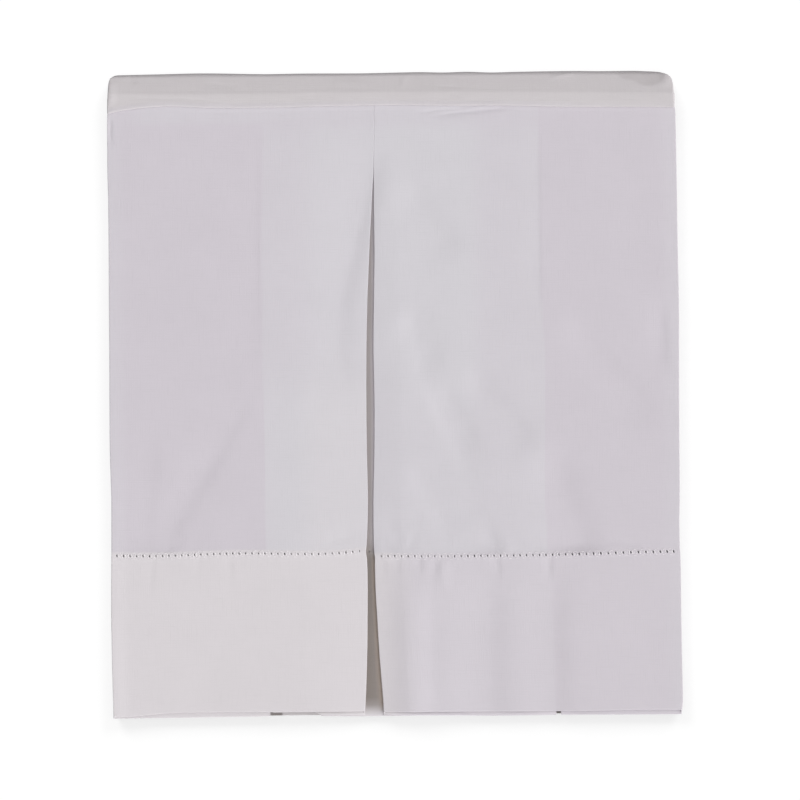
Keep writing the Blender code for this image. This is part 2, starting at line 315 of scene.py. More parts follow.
# %% [markdown]
# ## The hemstitched line
# The hem's top was drawn straight and has shifted a little as the cloth lies: it rises and sinks by a
# millimetre or two, and it sits lower to the right of the slot. Every level near it follows that line.
# The holes are set out along it with the machine's pitch, which gets longer where the cloth was pulled
# through.

# %% Where the hemstitch runs
LinePoint = namedtuple("LinePoint", "x y")


def line(*points):
    """A table of pairs: a place across, and the level or the size that goes with it."""
    return tuple(LinePoint(x, y) for x, y in points)


def read_at(points, x):
    """What such a table says at one place across."""
    return read(points, "x", x, "y")


HEMSTITCH_Y = -99.5
HEMSTITCH_LINES = {
    "left": line(
        (-178.0, -99.9), (-150.0, -100.3), (-121.0, -99.5), (-98.0, -99.0), (-54.0, -99.7),
        (-35.0, -99.2), (-20.0, -97.9),
    ),
    "right": line((-9.0, -101.3), (32.0, -101.7), (103.0, -101.2), (154.0, -100.0), (178.0, -99.7)),
    "underlay": line((-82.0, -99.3), (-22.0, -98.0), (-8.0, -99.6), (96.0, -101.2)),
}
LINE_REACH = 60.0  # how far above and below it the levels still follow the line


def level(side, x, y):
    """The true height up the skirt of a level, once it has shifted as the hemstitched line has."""
    shift = read_at(HEMSTITCH_LINES[side], x) - HEMSTITCH_Y
    return y + shift * (1.0 - ease(abs(y - HEMSTITCH_Y), 0.0, LINE_REACH))


# The seam to the platform cloth, and how far the skirt's face puffs up just below it.
SEAM_LINE = line(
    (-178.9, 177.4), (-170.0, 179.3), (-155.0, 181.1), (-139.0, 181.9), (-115.0, 180.8), (-80.0, 180.6),
    (-45.0, 181.2), (5.0, 181.6), (36.0, 181.0), (67.0, 180.9), (105.0, 179.9), (160.0, 179.4),
    (177.0, 179.0),
)
SEAM_PUFF = line(
    (-178.0, 0.0), (-150.0, 0.1), (-132.0, 0.2), (20.0, 0.2), (34.0, 0.05), (62.0, 0.05), (76.0, 0.2),
    (110.0, 0.2), (177.0, 0.15),
)
PUFF_PLACE, PUFF_WIDTH = 0.9, 1.3  # below the seam
HOLE_PITCH = line(
    (-178.0, 4.1), (-100.0, 4.0), (-50.0, 4.3), (-10.0, 4.2), (30.0, 4.15), (100.0, 4.1),
    (120.0, 4.55), (150.0, 4.7), (178.0, 3.9),
)
HOLE_WIDTH = 0.84
HOLE_HEIGHT = 1.8
HOLE_SLANT = -0.4  # from a hole's bottom to its top: below zero leans to the left
HOLE_UNEVENNESS = 0.35  # the most that a hole's size differs, as a share of it


def holes_between(start, end):
    """The middle of each hole from start to end, a pitch apart."""
    middles = [start]
    while middles[-1] + read_at(HOLE_PITCH, middles[-1]) < end:
        middles.append(middles[-1] + read_at(HOLE_PITCH, middles[-1]))
    return middles


HOLES = {
    "left": holes_between(-174.7, -19.5),
    "right": holes_between(-9.0, 176.0),
    "underlay": holes_between(-25.1, -2.0),
}
print({side: len(middles) for side, middles in HOLES.items()}, "holes")

# %% [markdown]
# ## Runs and columns
# The cloth is one sheet that turns back on itself six times: wing, front, return, underlay, return,
# front, wing. A grid follows it from free edge to free edge, so its columns are threads of the real
# cloth. On the fronts four columns go to each hole: its two sides, its middle and the bar between it and
# the next.

# %% Columns across the cloth
Run = namedtuple("Run", "layer side")
RUNS = (
    Run("wing", "left"),
    Run("front", "left"),
    Run("return", "left"),
    Run("underlay", "underlay"),
    Run("return", "right"),
    Run("front", "right"),
    Run("wing", "right"),
)
TURNS = (-1, 1, -1, 1, -1, 1)  # which way the fold after each run bulges
FOLD_ANGLES = [pi * k / 6 for k in range(1, 6)]  # round half an ellipse


def fold_reach(k):
    return SIDE_FOLD_REACH if k in (0, len(TURNS) - 1) else FOLD_REACH


def run_ends(row):
    """Where each run starts and ends across, between its folds."""
    edges = (row.left, row.slot_left, row.pleat_left, row.pleat_right, row.slot_right, row.right)
    bulges = [0.5 * fold_reach(k) * fold_depth(k, x, row) for k, x in enumerate(edges)]
    middles = [x - turn * (bulge + 0.5 * CLOTH) for x, turn, bulge in zip(edges, TURNS, bulges)]
    left_wing_end = blend(LEFT_WING_END_LOW, LEFT_WING_END, ease(row.y, HEM_BOTTOM, HEM_TOP))
    points = [left_wing_end, *middles, RIGHT_WING_END]
    return list(zip(points, points[1:]))


EDGE_COLUMN = 0.2  # mm from a fold to the column beside it, which keeps the fold crisp


def columns_for(holes, start, end, step):
    """Places between start and end, 0 to 1: four for each hole and an even spread outside them."""
    start_edge, end_edge = (EDGE_COLUMN, -EDGE_COLUMN) if end > start else (-EDGE_COLUMN, EDGE_COLUMN)
    half = 0.5 * HOLE_WIDTH
    places = []
    for k, middle in enumerate(holes):
        places += [middle - half, middle, middle + half]
        if k + 1 < len(holes):
            places.append(0.5 * (middle + holes[k + 1]))
    first, last = places[0], places[-1]
    before = [start, *spread(start + start_edge, first, max(2, round(abs(first - start) / step) + 1))[:-1]]
    after = [*spread(last, end + end_edge, max(2, round(abs(end - last) / step) + 1))[1:], end]
    return [(x - start) / (end - start) for x in before + places + after]


print(len(RUNS), "runs of cloth with", len(TURNS), "folds between them")

# %% [markdown]
# ## The height of each layer
# The front sinks to the slot, where the pressed pleat holds it down, and a little at its sides, and it
# carries the creases. The returns lie low, but rise to meet the front where the pleat was pressed. A
# faint, broad swell keeps wide areas from looking ironed by a machine.

# %% The small relief of the face
SWELL, SWELL_SIZE = 0.12, 55.0
BAR_RISE, BAR_WIDTH = 0.14, 2.0  # the bars between the holes
LADDER_RISE, LADDER_WIDTH, LADDER_END = 0.1, 3.2, 8.0  # the whole hemstitched row


def swell(x, y):
    return SWELL * noise.noise(Vector((x / SWELL_SIZE, y / SWELL_SIZE, 0.0)))


def stitch_pull(side, x, y):
    """The small quilting between the holes: the cloth dips at each hole and stands up between two."""
    off = y - read_at(HEMSTITCH_LINES[side], x)
    if abs(off) > LADDER_END:
        return 0.0
    nearest = min(HOLES[side], key=lambda middle: abs(middle - x))
    share = min(abs(x - nearest) / (0.5 * read_at(HOLE_PITCH, x)), 1.0)
    bars = BAR_RISE * (0.5 - cos(pi * share) * 0.5) * bell(off, BAR_WIDTH)
    return bars + LADDER_RISE * bell(off, LADDER_WIDTH)


print("swell:", SWELL, "mm, rise along the hemstitch:", LADDER_RISE, "mm, of its bars:", BAR_RISE, "mm")

# %% The height of the face
# Levels in mm, and a width. A pair is where something starts and where it is complete.
HEM_CREASES_END = -96.0
FACE_CREASES_START = (-101.0, -93.0)
PUCKER_LEVELS = (-124.0, -84.0)
TUCKS_START = 160.0
SAG_STOPS = 110.0  # from here up to the end of the wings' climb the sides sag less and less
SEAM_HOLDS = (170.0, 181.0)  # the seam holds the cloth flat
SLOT_SHUTS = (118.0, 142.0)
CLOSED_WIDTH = 3.0  # of the strip where the left front lies over the right one


def front_z(side, x, row, y):
    slot, fold = (row.slot_left, row.left) if side == "left" else (row.slot_right, row.right)
    nearness = max(1.0 - abs(x - slot) / read(SINK_REACH, "y", row.y, side), 0.0)
    height = LAYER_Z["front"] - row.sink * nearness**SINK_POWER
    height += read(RIM_RISE, "y", row.y, side) * (1.0 - ease(abs(x - fold), 0.0, RIM_WIDTH))
    sagging = 1.0 - ease(row.y, SAG_STOPS, WING_CLIMB_END)
    height -= SIDE_SAG * ease(abs(x), SAG_START, SAG_END) * sagging
    off_seam = 1.0 - ease(row.y, *SEAM_HOLDS)
    if row.y < HEM_CREASES_END:
        height += creases_at(HEM_CREASES, x, y)
    if row.y > FACE_CREASES_START[0]:
        height += off_seam * ease(row.y, *FACE_CREASES_START) * creases_at(FACE_CREASES, x, y)
    if PUCKER_LEVELS[0] < row.y < PUCKER_LEVELS[1]:
        height += creases_at(PUCKERS, x, y)
    if row.y > TUCKS_START:
        height += creases_at(SEAM_PUCKERS, x, y)
        below_seam = read_at(SEAM_LINE, x) - y
        height += read_at(SEAM_PUFF, x) * bell(below_seam - PUFF_PLACE, PUFF_WIDTH)
    height += stitch_pull(side, x, y)
    if side == "left":
        height += CLOSED_LIFT * ease(row.y, *SLOT_SHUTS) * off_seam * bell(x - slot, CLOSED_WIDTH)
    return height + off_seam * swell(x, y)


face_height = front_z("right", 0.5 * ROWS[0].right, row_at(0.0), 0.0)
print("the right front's middle is", round(face_height, 2), "mm high")

# %% Heights of the layers behind
HEM_FOLD_ENDS = (-102.0, -88.0)
SLOT_NARROWS = (112.0, 132.0)
BOTTOM_LIFT_END = -150.0
PRESSED_START, PRESSED_END = 2.0, 16.0  # mm from the slot: the return leaves the front, and rests


def pressed_fold(y):
    """How thick the pressed fold beside the slot is: the hem's has four plies in it."""
    above_hem = blend(HEM_FOLD, PRESSED_FOLD, ease(y, *HEM_FOLD_ENDS))
    return blend(above_hem, CLOSED_FOLD, ease(y, *SLOT_NARROWS))


def lifted(layer, y):
    """The height of a back layer, which the bottom's crowd of layers lifts."""
    return LAYER_Z[layer] + BOTTOM_LIFT[layer] * (1.0 - ease(y, HEM_BOTTOM, BOTTOM_LIFT_END))


def outside_slot(x, row):
    return max(row.slot_left - x, x - row.slot_right, 0.0)


def beside_slot(side, x, row):
    """Whether this side's return lies over the underlay here. In the slot, both do at its edges."""
    return x <= row.slot_right if side == "left" else x >= row.slot_left


def return_z(side, x, row):
    """The return hangs from the front beside the slot and rests lower further off."""
    slot = row.slot_left if side == "left" else row.slot_right
    hung_x = min(x, slot) if side == "left" else max(x, slot)
    raised = front_z(side, hung_x, row, level(side, hung_x, row.y)) - pressed_fold(row.y)
    resting = lifted("return", row.y)
    return blend(raised, resting, ease(abs(hung_x - slot), PRESSED_START, PRESSED_END))


def layer_z(run, x, row):
    """The middle of the cloth at one point of a run."""
    y = level(run.side, x, row.y)
    if run.layer == "front":
        return front_z(run.side, x, row, y)
    if run.layer == "wing":
        return lifted("wing", row.y) + WING_CLIMB * ease(row.y, WING_CLIMB_START, WING_CLIMB_END)
    if run.layer == "underlay":
        bulged = blend(LAYER_Z["underlay"], UNDERLAY_TOP, bell(outside_slot(x, row), BULGE_REACH))
        above = [return_z(side, x, row) for side in ("left", "right") if beside_slot(side, x, row)]
        return min([bulged, *[z - UNDERLAY_GAP for z in above]])
    return return_z(run.side, x, row)


def fold_depth(k, x, row):
    """The height between the two runs that meet at fold k."""
    return abs(layer_z(RUNS[k], x, row) - layer_z(RUNS[k + 1], x, row))


print("pressed fold, in mm, up the slot:", [round(pressed_fold(y), 2) for y in (-150.0, 0.0, 150.0)])

# %% Set out the columns
HOLE_MARGIN = 0.9  # mm, the least from a fold to a hole's middle
FRONT_STEP, UNDERLAY_STEP = 1.0, 5.0  # mm between columns where there are no holes
RETURN_COLUMNS = 13
WING_COLUMNS = 7
middle_row = row_at(HEMSTITCH_Y)
COLUMNS = []
for run, (start, end) in zip(RUNS, run_ends(middle_row)):
    if run.layer == "front":
        low, high = min(start, end) + HOLE_MARGIN, max(start, end) - HOLE_MARGIN
        HOLES[run.side] = [x for x in HOLES[run.side] if low < x < high]
        COLUMNS.append(columns_for(HOLES[run.side], start, end, FRONT_STEP))
    elif run.layer == "underlay":
        COLUMNS.append(columns_for(HOLES["underlay"], start, end, UNDERLAY_STEP))
    elif run.layer == "return":
        from_slot = [share * share for share in spread(0.0, 1.0, RETURN_COLUMNS)]
        COLUMNS.append(from_slot if run.side == "left" else [1.0 - share for share in reversed(from_slot)])
    else:
        COLUMNS.append(spread(0.0, 1.0, WING_COLUMNS))
across = sum(len(places) for places in COLUMNS) + len(FOLD_ANGLES) * len(TURNS)
print(across, "columns from one free edge to the other")

# %% [markdown]
# ## Levels up the cloth
# Rows are close together where something small happens, at the hemstitch and at the tucks under the seam,
# and far apart where the cloth is plain. The sheet starts at the cut edge inside the hem, goes down to
# the bottom fold and comes up on the outside, as the real turned-up hem does.

# %% Rows of the grid
HALF_HOLE = 0.5 * HOLE_HEIGHT
HEM_ROUND = 0.5  # mm, the height of the bottom fold's turn
FOLD_START = [HEM_BOTTOM + HEM_ROUND, HEM_BOTTOM + 0.8]  # two rows close together keep it crisp
HEM_INSIDE = [-103.2, -106.0, -128.0, -154.0, -180.0, -197.0, *reversed(FOLD_START)]
BOTTOM_FOLD = [0.25 * pi, 0.5 * pi, 0.75 * pi]
HEM_OUTSIDE = [*FOLD_START, -197.0, -193.0, *spread(-188.0, -112.5, 14)]
HEM_OUTSIDE += [-109.5, -107.0, -105.0, -103.6, -102.4]
LADDER = [-101.5, HEMSTITCH_Y - HALF_HOLE, HEMSTITCH_Y, HEMSTITCH_Y + HALF_HOLE, -97.5]
FACE = [-96.8, -96.0, -95.0, -93.5, -91.5, -89.0, *spread(-85.0, 165.0, 46), 168.5, 171.0]
UNDER_SEAM = [172.8, 174.2, 175.2, 176.0, 176.8, 177.6, 178.4, 179.4, 180.6, 182.5, 186.0, SKIRT_TOP]
OUTSIDE = HEM_OUTSIDE + LADDER + FACE + UNDER_SEAM
HOLE_ROW = OUTSIDE.index(HEMSTITCH_Y)
print(len(HEM_INSIDE) + len(BOTTOM_FOLD) + len(OUTSIDE), "rows")

# %% [markdown]
# ## One section across the cloth
# A section is a row of points from free edge to free edge. Between two runs the cloth goes round a fold,
# half of an ellipse. The inner layers reach a little past the front at the bottom, where their edges show
# as thin lips with two small gaps between them.

# %% Sections
BOTTOM_REACH = {
    ("wing", "left"): line((-178.0, -2.3), (-140.0, -2.0), (-80.0, -1.5)),
    ("return", "left"): line((-78.0, 0.9), (-51.0, 0.9), (-48.0, -1.2), (-19.0, -1.2)),
    ("underlay", "underlay"): line(
        (-78.0, 0.6), (-51.0, 0.6), (-48.0, -1.7), (30.0, -1.7), (60.0, -2.2), (99.0, -2.0),
    ),
    ("return", "right"): line((-8.0, -1.4), (60.0, -1.9), (99.0, -1.7)),
    ("wing", "right"): line((103.0, -1.9), (178.0, -2.1)),
    ("front", "left"): line(
        (-178.0, -1.5), (-168.0, -1.2), (-150.0, 0.3), (-134.0, 1.1), (-80.0, 1.2), (-19.0, 1.1),
    ),
    ("front", "right"): line((-8.0, 0.7), (60.0, 0.5), (120.0, 0.5), (155.0, 0.9), (178.0, 0.7)),
}


def point_on(run, x, row, z=None):
    """A point of a run, at the level that its side and its layer have there."""
    low = 1.0 - ease(row.y, HEM_BOTTOM, HEMSTITCH_Y)
    y = level(run.side, x, row.y) + low * read_at(BOTTOM_REACH[(run.layer, run.side)], x)
    return Vector((x, y, layer_z(run, x, row) if z is None else z))


def fold_points(start, end, reach):
    """Points round half an ellipse from one run to the next, which bulges by this much across."""
    halfway = [(0.5 - 0.5 * cos(angle), reach * sin(angle)) for angle in FOLD_ANGLES]
    return [blend(start, end, share) + Vector((bulge, 0.0, 0.0)) for share, bulge in halfway]


def section(row):
    """The middle of the cloth across one level."""
    points = []
    ends = run_ends(row)
    for k, run in enumerate(RUNS):
        start, end = ends[k]
        points += [point_on(run, blend(start, end, place), row) for place in COLUMNS[k]]
        if k < len(TURNS):
            first = point_on(RUNS[k + 1], end, row)
            last = points[-1]
            bulge = 0.5 * fold_reach(k) * abs(first.z - last.z)
            points += fold_points(last, first, TURNS[k] * bulge)
    return points


def inward(points):
    """The direction of the cloth's wrong side at each point of a section."""
    directions = []
    for i in range(len(points)):
        step = points[min(i + 1, len(points) - 1)] - points[max(i - 1, 0)]
        directions.append(Vector((step.z, 0.0, -step.x)).normalized())
    return directions


def skirt_rows():
    """Every row of the grid, from the cut edge inside the hem to the one under the platform cloth."""
    rows = []
    for y in HEM_INSIDE:
        points = section(row_at(y))
        rows.append([p + n * HEM_PLY for p, n in zip(points, inward(points))])
    lowest = section(row_at(HEM_BOTTOM + HEM_ROUND))
    sides = inward(lowest)
    for angle in BOTTOM_FOLD:
        off = HEM_PLY * (0.5 + 0.5 * cos(angle))
        drop = Vector((0.0, -HEM_ROUND * sin(angle), 0.0))
        rows.append([p + n * off + drop for p, n in zip(lowest, sides)])
    rows += [section(row_at(y)) for y in OUTSIDE]
    return rows


skirt_grid = skirt_rows()
print(len(skirt_grid), "x", len(skirt_grid[0]), "points")

# %% [markdown]
# ## From a grid to a sheet
# The grid becomes a mesh with a UV map in metres along the threads, so that a weave follows the cloth
# round its folds, and with a few attributes that the finishes read: where the cloth has more cloth behind
# it, where it is the hem, and where it lies inside the pleat. A Solidify modifier then gives it two sides
# and edges.

# %% Make a mesh from a grid
def lengths_along(points):
    lengths = [0.0]
    for a, b in zip(points, points[1:]):
        lengths.append(lengths[-1] + (b - a).length)
    return lengths


def sheet_mesh(name, rows, values):
    """values has one number for each attribute and point, in the order of the grid."""
    wide = len(rows[0])
    vertices = [point * MM for row in rows for point in row]
    faces = []
    for j in range(len(rows) - 1):
        for i in range(wide - 1):
            corner = j * wide + i
            faces.append((corner, corner + 1, corner + wide + 1, corner + wide))
    mesh = bpy.data.meshes.new(name)
    mesh.from_pydata(vertices, [], faces)
    us = lengths_along(rows[len(rows) // 2])
    vs = lengths_along([row[wide // 4] for row in rows])
    layer = mesh.uv_layers.new(name="cloth")
    for loop in mesh.loops:
        j, i = divmod(loop.vertex_index, wide)
        layer.data[loop.index].uv = (us[i] * MM, vs[j] * MM)
    for key, numbers in values.items():
        kind = "FLOAT_VECTOR" if isinstance(numbers[0], Vector) else "FLOAT"
        attribute = mesh.attributes.new(key, kind, "POINT")
        field = "vector" if kind == "FLOAT_VECTOR" else "value"
        for item, number in zip(attribute.data, numbers):
            setattr(item, field, number)
    mesh.shade_smooth()
    return mesh


def link(thing):
    bpy.context.scene.collection.objects.link(thing)
    return thing


def area_of(mesh):
    return sum(face.area for face in mesh.polygons)


across_cloth = lengths_along(skirt_grid[-1])[-1]
print("the skirt cloth is", round(across_cloth), "mm across, once unfolded")

# %% [markdown]
# ## Marks on the skirt cloth
# Percale this fine shows what lies behind it: over the pleat it has two more layers of itself and looks a
# touch lighter, and the doubled hem lighter still. The attributes hold that as shares from 0 to 1, with
# edges as sharp as the pressed folds behind. The cloth inside the pleat gets painted shade, a darker colour.
# By the slot's right edge it is painted lighter and warmer, for the light that the thin cloth above lets
# through.

# %% How much cloth lies behind the front
PleatTone = namedtuple("PleatTone", "x upper lower")
PLEAT_TONES = (  # the layers behind show less where they hang loose from the front
    PleatTone(-82.0, 0.45, 0.85),
    PleatTone(-62.0, 0.5, 1.0),
    PleatTone(-45.0, 0.8, 1.0),
    PleatTone(-20.0, 0.85, 1.0),
    PleatTone(-8.0, 1.0, 0.8),
    PleatTone(45.0, 1.0, 0.8),
    PleatTone(58.0, 0.6, 0.65),
    PleatTone(92.0, 0.6, 0.65),
)
# Tones, and places in mm. A pair is where a tone starts and where it is complete.
EDGE_SOFTNESS = 0.4
UPPER_PLEAT = (-30.0, 45.0)
ALLOWANCE_TONE, ALLOWANCE_UP, ALLOWANCE_ACROSS = 0.5, (170.2, 171.6), (-178.0, -150.0)
SIDE_TONE, SIDE_WIDTH = 0.35, 14.0
SEAM_TONE, NEAR_SEAM = 0.6, (162.0, 173.0)
RIGHT_HEM_BACKING, ABOVE_HEM = 0.3, (-101.0, -98.0)


def backing_at(x, y, row):
    """1 over the pleat's extra layers. The left wing's seam shows a little too, and the cloth is lighter
    near each side fold.
    """
    past_left = ease(x, row.pleat_left - EDGE_SOFTNESS, row.pleat_left + EDGE_SOFTNESS)
    past_right = ease(x, row.pleat_right - EDGE_SOFTNESS, row.pleat_right + EDGE_SOFTNESS)
    pleat = past_left * (1.0 - past_right)
    allowance = ALLOWANCE_TONE * ease(y, *ALLOWANCE_UP) * ease(x, *ALLOWANCE_ACROSS) if x < 0.0 else 0.0
    sides = SIDE_TONE * (1.0 - ease(min(x - row.left, row.right - x), 0.0, SIDE_WIDTH))
    lower, upper = read(PLEAT_TONES, "x", x, "lower"), read(PLEAT_TONES, "x", x, "upper")
    pleat *= blend(lower, upper, ease(y, *UPPER_PLEAT))
    pleat *= blend(1.0, SEAM_TONE, ease(y, *NEAR_SEAM))
    if x > row.slot_right:
        pleat *= blend(RIGHT_HEM_BACKING, 1.0, ease(y, *ABOVE_HEM))
    return max(pleat, allowance, sides)


print("over the right return:", round(backing_at(50.0, 0.0, row_at(0.0)), 2))

# %% Where the hem is light
RIGHT_HEM_TONE = 0.1  # the hem to the right of the slot isn't as light as the one to its left
LOW_LEFT_TONE = 0.35  # low on the left the layers behind lie close, so the cloth is lighter, as the hem is
SLOT_MIDDLE = -15.0
TONE_START, TONE_END = 1.6, 3.0  # above the hemstitched line
RIGHT_HEM = (-20.0, 20.0)
LOW_LEFT, LOW_LEFT_END = (-66.0, -44.0), (-25.0, 45.0)


def hem_at(x, y, on_left_front):
    """1 on the doubled hem left of the slot and just above its holes. The low left front is light too."""
    edge = read_at(HEMSTITCH_LINES["right" if x > SLOT_MIDDLE else "left"], x)
    doubled = blend(1.0, RIGHT_HEM_TONE, ease(x, *RIGHT_HEM))
    doubled *= 1.0 - ease(y, edge + TONE_START, edge + TONE_END)
    pressed = ease(x, *LOW_LEFT) * (1.0 - ease(y, *LOW_LEFT_END)) if on_left_front else 0.0
    return max(doubled, LOW_LEFT_TONE * pressed)


print("in the left hem:", hem_at(ROWS[0].left, HEM_BOTTOM, True))

# %% Painted shade inside the pleat
LIT_WIDTH = 1.8  # of the strip above the hem that is painted lighter, for the light that comes through the cloth
LIT_RETURN = Run("return", "right")
LIT_FOLD = 0.35  # the fold itself, at the slot's right edge, is painted lightest, for the light that comes through it
BEHIND_FACE = (-106.0, -90.0)
# shares of the painted shade: above the hem, to the slot's right, and where it is painted lighter
FACE_DARK, RIGHT_DARK, LIT_DARK = 0.75, 0.9, 0.3
# the painted shade is lighter at the bottom of the pleat and stops at the lips
BOTTOM_DARK, OFF_BOTTOM = 0.4, (-196.8, -193.8)
OFF_LIP = (-199.8, -198.4)
LEAST_SLOT = 0.1  # so that it has a width where it is shut


def painted_pleat_shade_at(x, y, row):
    """Painted shade inside the pleat: most behind the hem, painted lighter at the bottom and at the slot's
    right edge.
    """
    in_face = ease(y, *BEHIND_FACE)
    lit = in_face * ease(x, row.slot_right - LIT_WIDTH, row.slot_right)
    dark = blend(1.0, FACE_DARK, in_face)
    dark *= blend(1.0, RIGHT_DARK, ease(x, row.slot_left, row.slot_right + LEAST_SLOT))
    dark *= blend(1.0, LIT_DARK, lit)
    return dark * blend(BOTTOM_DARK, 1.0, ease(y, *OFF_BOTTOM)) * ease(y, *OFF_LIP)


# where the painted light beside the slot's right edge reaches, and how wide it is
GLOW_WIDTH_LOW, GLOW_WIDTH_HIGH, GLOW_NARROWS = 3.5, 2.2, (-190.0, -115.0)
GLOW_STARTS, GLOW_ENDS = (-198.0, -193.0), (-106.0, -98.0)


def painted_glow_at(x, y, row):
    """Painted light by the slot's right edge, for light through the hem. It spreads towards the bottom."""
    width = blend(GLOW_WIDTH_LOW, GLOW_WIDTH_HIGH, ease(y, *GLOW_NARROWS))
    beside = ease(x, row.slot_right - width, row.slot_right)
    return beside * (1.0 - ease(y, *GLOW_ENDS)) * ease(y, *GLOW_STARTS)


print("in the slot's middle:", round(painted_pleat_shade_at(SLOT_MIDDLE, 0.0, row_at(0.0)), 2))

# %% The values of every point
FIRST_OUTSIDE = len(HEM_INSIDE) + len(BOTTOM_FOLD)


def column_starts():
    starts, at = [], 0
    for k, places in enumerate(COLUMNS):
        starts.append(at)
        at += len(places) + (len(FOLD_ANGLES) if k < len(TURNS) else 0)
    return starts


def skirt_values(rows):
    values = {"backing": [], "hem": [], "inside": [], "glow": []}
    starts = column_starts()
    for j, points in enumerate(rows):
        row = row_at(OUTSIDE[max(j - FIRST_OUTSIDE, 0)])
        for i, (x, y, z) in enumerate(points):
            k = max(n for n, start in enumerate(starts) if start <= i)
            run = RUNS[k]
            front = run.layer == "front"
            # painted shade inside the pleat, and painted light beside the slot's right edge
            inside = painted_pleat_shade_at(x, y, row) if run.layer in ("return", "underlay") else 0.0
            glow = painted_glow_at(x, y, row) if inside else 0.0
            # the fold at the slot's right edge gets less of both
            if run == LIT_RETURN and i - starts[k] >= len(COLUMNS[k]):
                inside *= LIT_FOLD
                glow *= LIT_FOLD
            values["backing"].append(backing_at(x, y, row) if front else 0.0)
            values["hem"].append(hem_at(x, y, front and run.side == "left"))
            values["inside"].append(inside)
            values["glow"].append(glow)
    return values


print("runs start at columns", column_starts())

# %% Marks for the holes, and the skirt's mesh
OCTAGON = [  # columns and rows from a hole's middle, and the place on its rim in half sizes
    (-1, -1, (-0.62, -0.8)), (0, -1, (0.0, -1.0)), (1, -1, (0.62, -0.8)), (1, 0, (1.0, 0.0)),
    (1, 1, (0.62, 0.8)), (0, 1, (0.0, 1.0)), (-1, 1, (-0.62, 0.8)), (-1, 0, (-1.0, 0.0)),
]
LEFT_SIZE, SIZE_GROWS = 0.8, (80.0, 110.0)  # the holes at the far right are larger
HOLE_SLICE = 2.0  # which line through the noise


def hole_values(rows):
    """Marks on each hole's middle and rim, and how the points of its rim move to its shape."""
    wide = len(rows[0])
    count = wide * len(rows)
    middle, rim = [0.0] * count, [0.0] * count
    pull, unit = [Vector()] * count, [Vector()] * count
    centre_row = FIRST_OUTSIDE + HOLE_ROW
    for start, places, run, ends in zip(column_starts(), COLUMNS, RUNS, run_ends(middle_row)):
        if run.layer not in ("front", "underlay"):
            continue
        for hole in HOLES[run.side]:
            place = (hole - ends[0]) / (ends[1] - ends[0])
            i = start + min(range(len(places)), key=lambda n: abs(places[n] - place))
            centre = rows[centre_row][i]
            middle[centre_row * wide + i] = 1.0
            size = 1.0 + HOLE_UNEVENNESS * noise.noise(Vector((hole, HOLE_SLICE, 0.0)))
            size *= blend(LEFT_SIZE, 1.0, ease(hole, *SIZE_GROWS))
            for right, up, (x, y) in OCTAGON:
                corner = (centre_row + up) * wide + i + right
                rim[corner] = 1.0
                from_middle = rows[centre_row + up][i + right] - centre
                pull[corner] = Vector((-from_middle.x, -from_middle.y, 0.0)) * MM
                unit[corner] = Vector((0.5 * x, 0.5 * y, 0.5 * y)) * size
    return {"hole_middle": middle, "hole_rim": rim, "hole_pull": pull, "hole_unit": unit}


skirt_mesh = sheet_mesh("skirt_cloth", skirt_grid, {**skirt_values(skirt_grid), **hole_values(skirt_grid)})
print("one ply of skirt cloth:", round(area_of(skirt_mesh), 3), "m2")

# %% [markdown]
# ## The platform cloth
# Its visible strip is a band above the seam. The cloth starts inside the seam, rolls round the seam's
# ridge, runs up the band, over the top and down the back, with its own side wings folded in. The path is
# measured as in the solids: 0 at the seam, 1 and 2 at the start and end of the roll over the top, and 3
# at the far end.

# %% Sizes of the platform cloth, in mm
PLATFORM_BACK_Z = 0.25
PLATFORM_WING_Z = 1.6
PLATFORM_FRONT_WING_Z = 3.2
WING_ROLL_Z = 4.4
BAND_Z = 7.2
ALLOWANCE_Z = 6.72
ROLL_Y = 199.1
ROLL_REACH = 2.2  # the roll is taller than it is deep: the fold was pressed
WING_ROLL_REACH = 0.7
BACK_END = -201.1
BACK_RIPPLE = 0.18  # the back isn't quite flat
WING_BULB_START = 0.7
TOP_LINE = line(  # how far the top edge wanders from its straight line
    (-170.0, -0.05), (-148.0, 0.3), (-125.0, 0.7), (-110.0, 0.6), (-80.0, -0.05), (-57.0, 0.15),
    (-20.0, 0.0), (-5.0, 0.2), (17.0, 0.5), (32.0, 0.15), (47.0, 0.5), (62.0, -0.05), (78.0, 0.25),
    (115.0, 0.5), (130.0, 0.25), (152.0, 0.3), (161.0, -0.05),
)
Side = namedtuple("Side", "along left right")
PLATFORM_SIDES = (
    Side(0.0, -178.8, 177.0),
    Side(0.2, -178.8, 176.8),
    Side(0.6, -178.4, 176.2),
    Side(0.8, -178.0, 175.6),
    Side(0.92, -177.5, 174.6),
    Side(1.0, -176.8, 172.6),
    Side(1.25, -174.6, 168.0),
    Side(1.5, -171.5, 161.0),
    Side(1.75, -174.6, 168.0),
    Side(2.0, -176.2, 173.0),
    Side(2.1, -176.2, 175.6),
    Side(3.0, -176.2, 176.2),
)
print("the back runs from", ROLL_Y, "down to", BACK_END, "mm, at a height of", PLATFORM_BACK_Z, "mm")

# %% [markdown]
# ## The band's creases
# The ridge along the seam is the turned cloth standing up. Above it the seam allowance lies behind the
# band and makes a low step. In the top right corner nothing lies behind the cloth, so it falls away a
# little above a curved edge and looks darker. A few short wrinkles lie across the band.

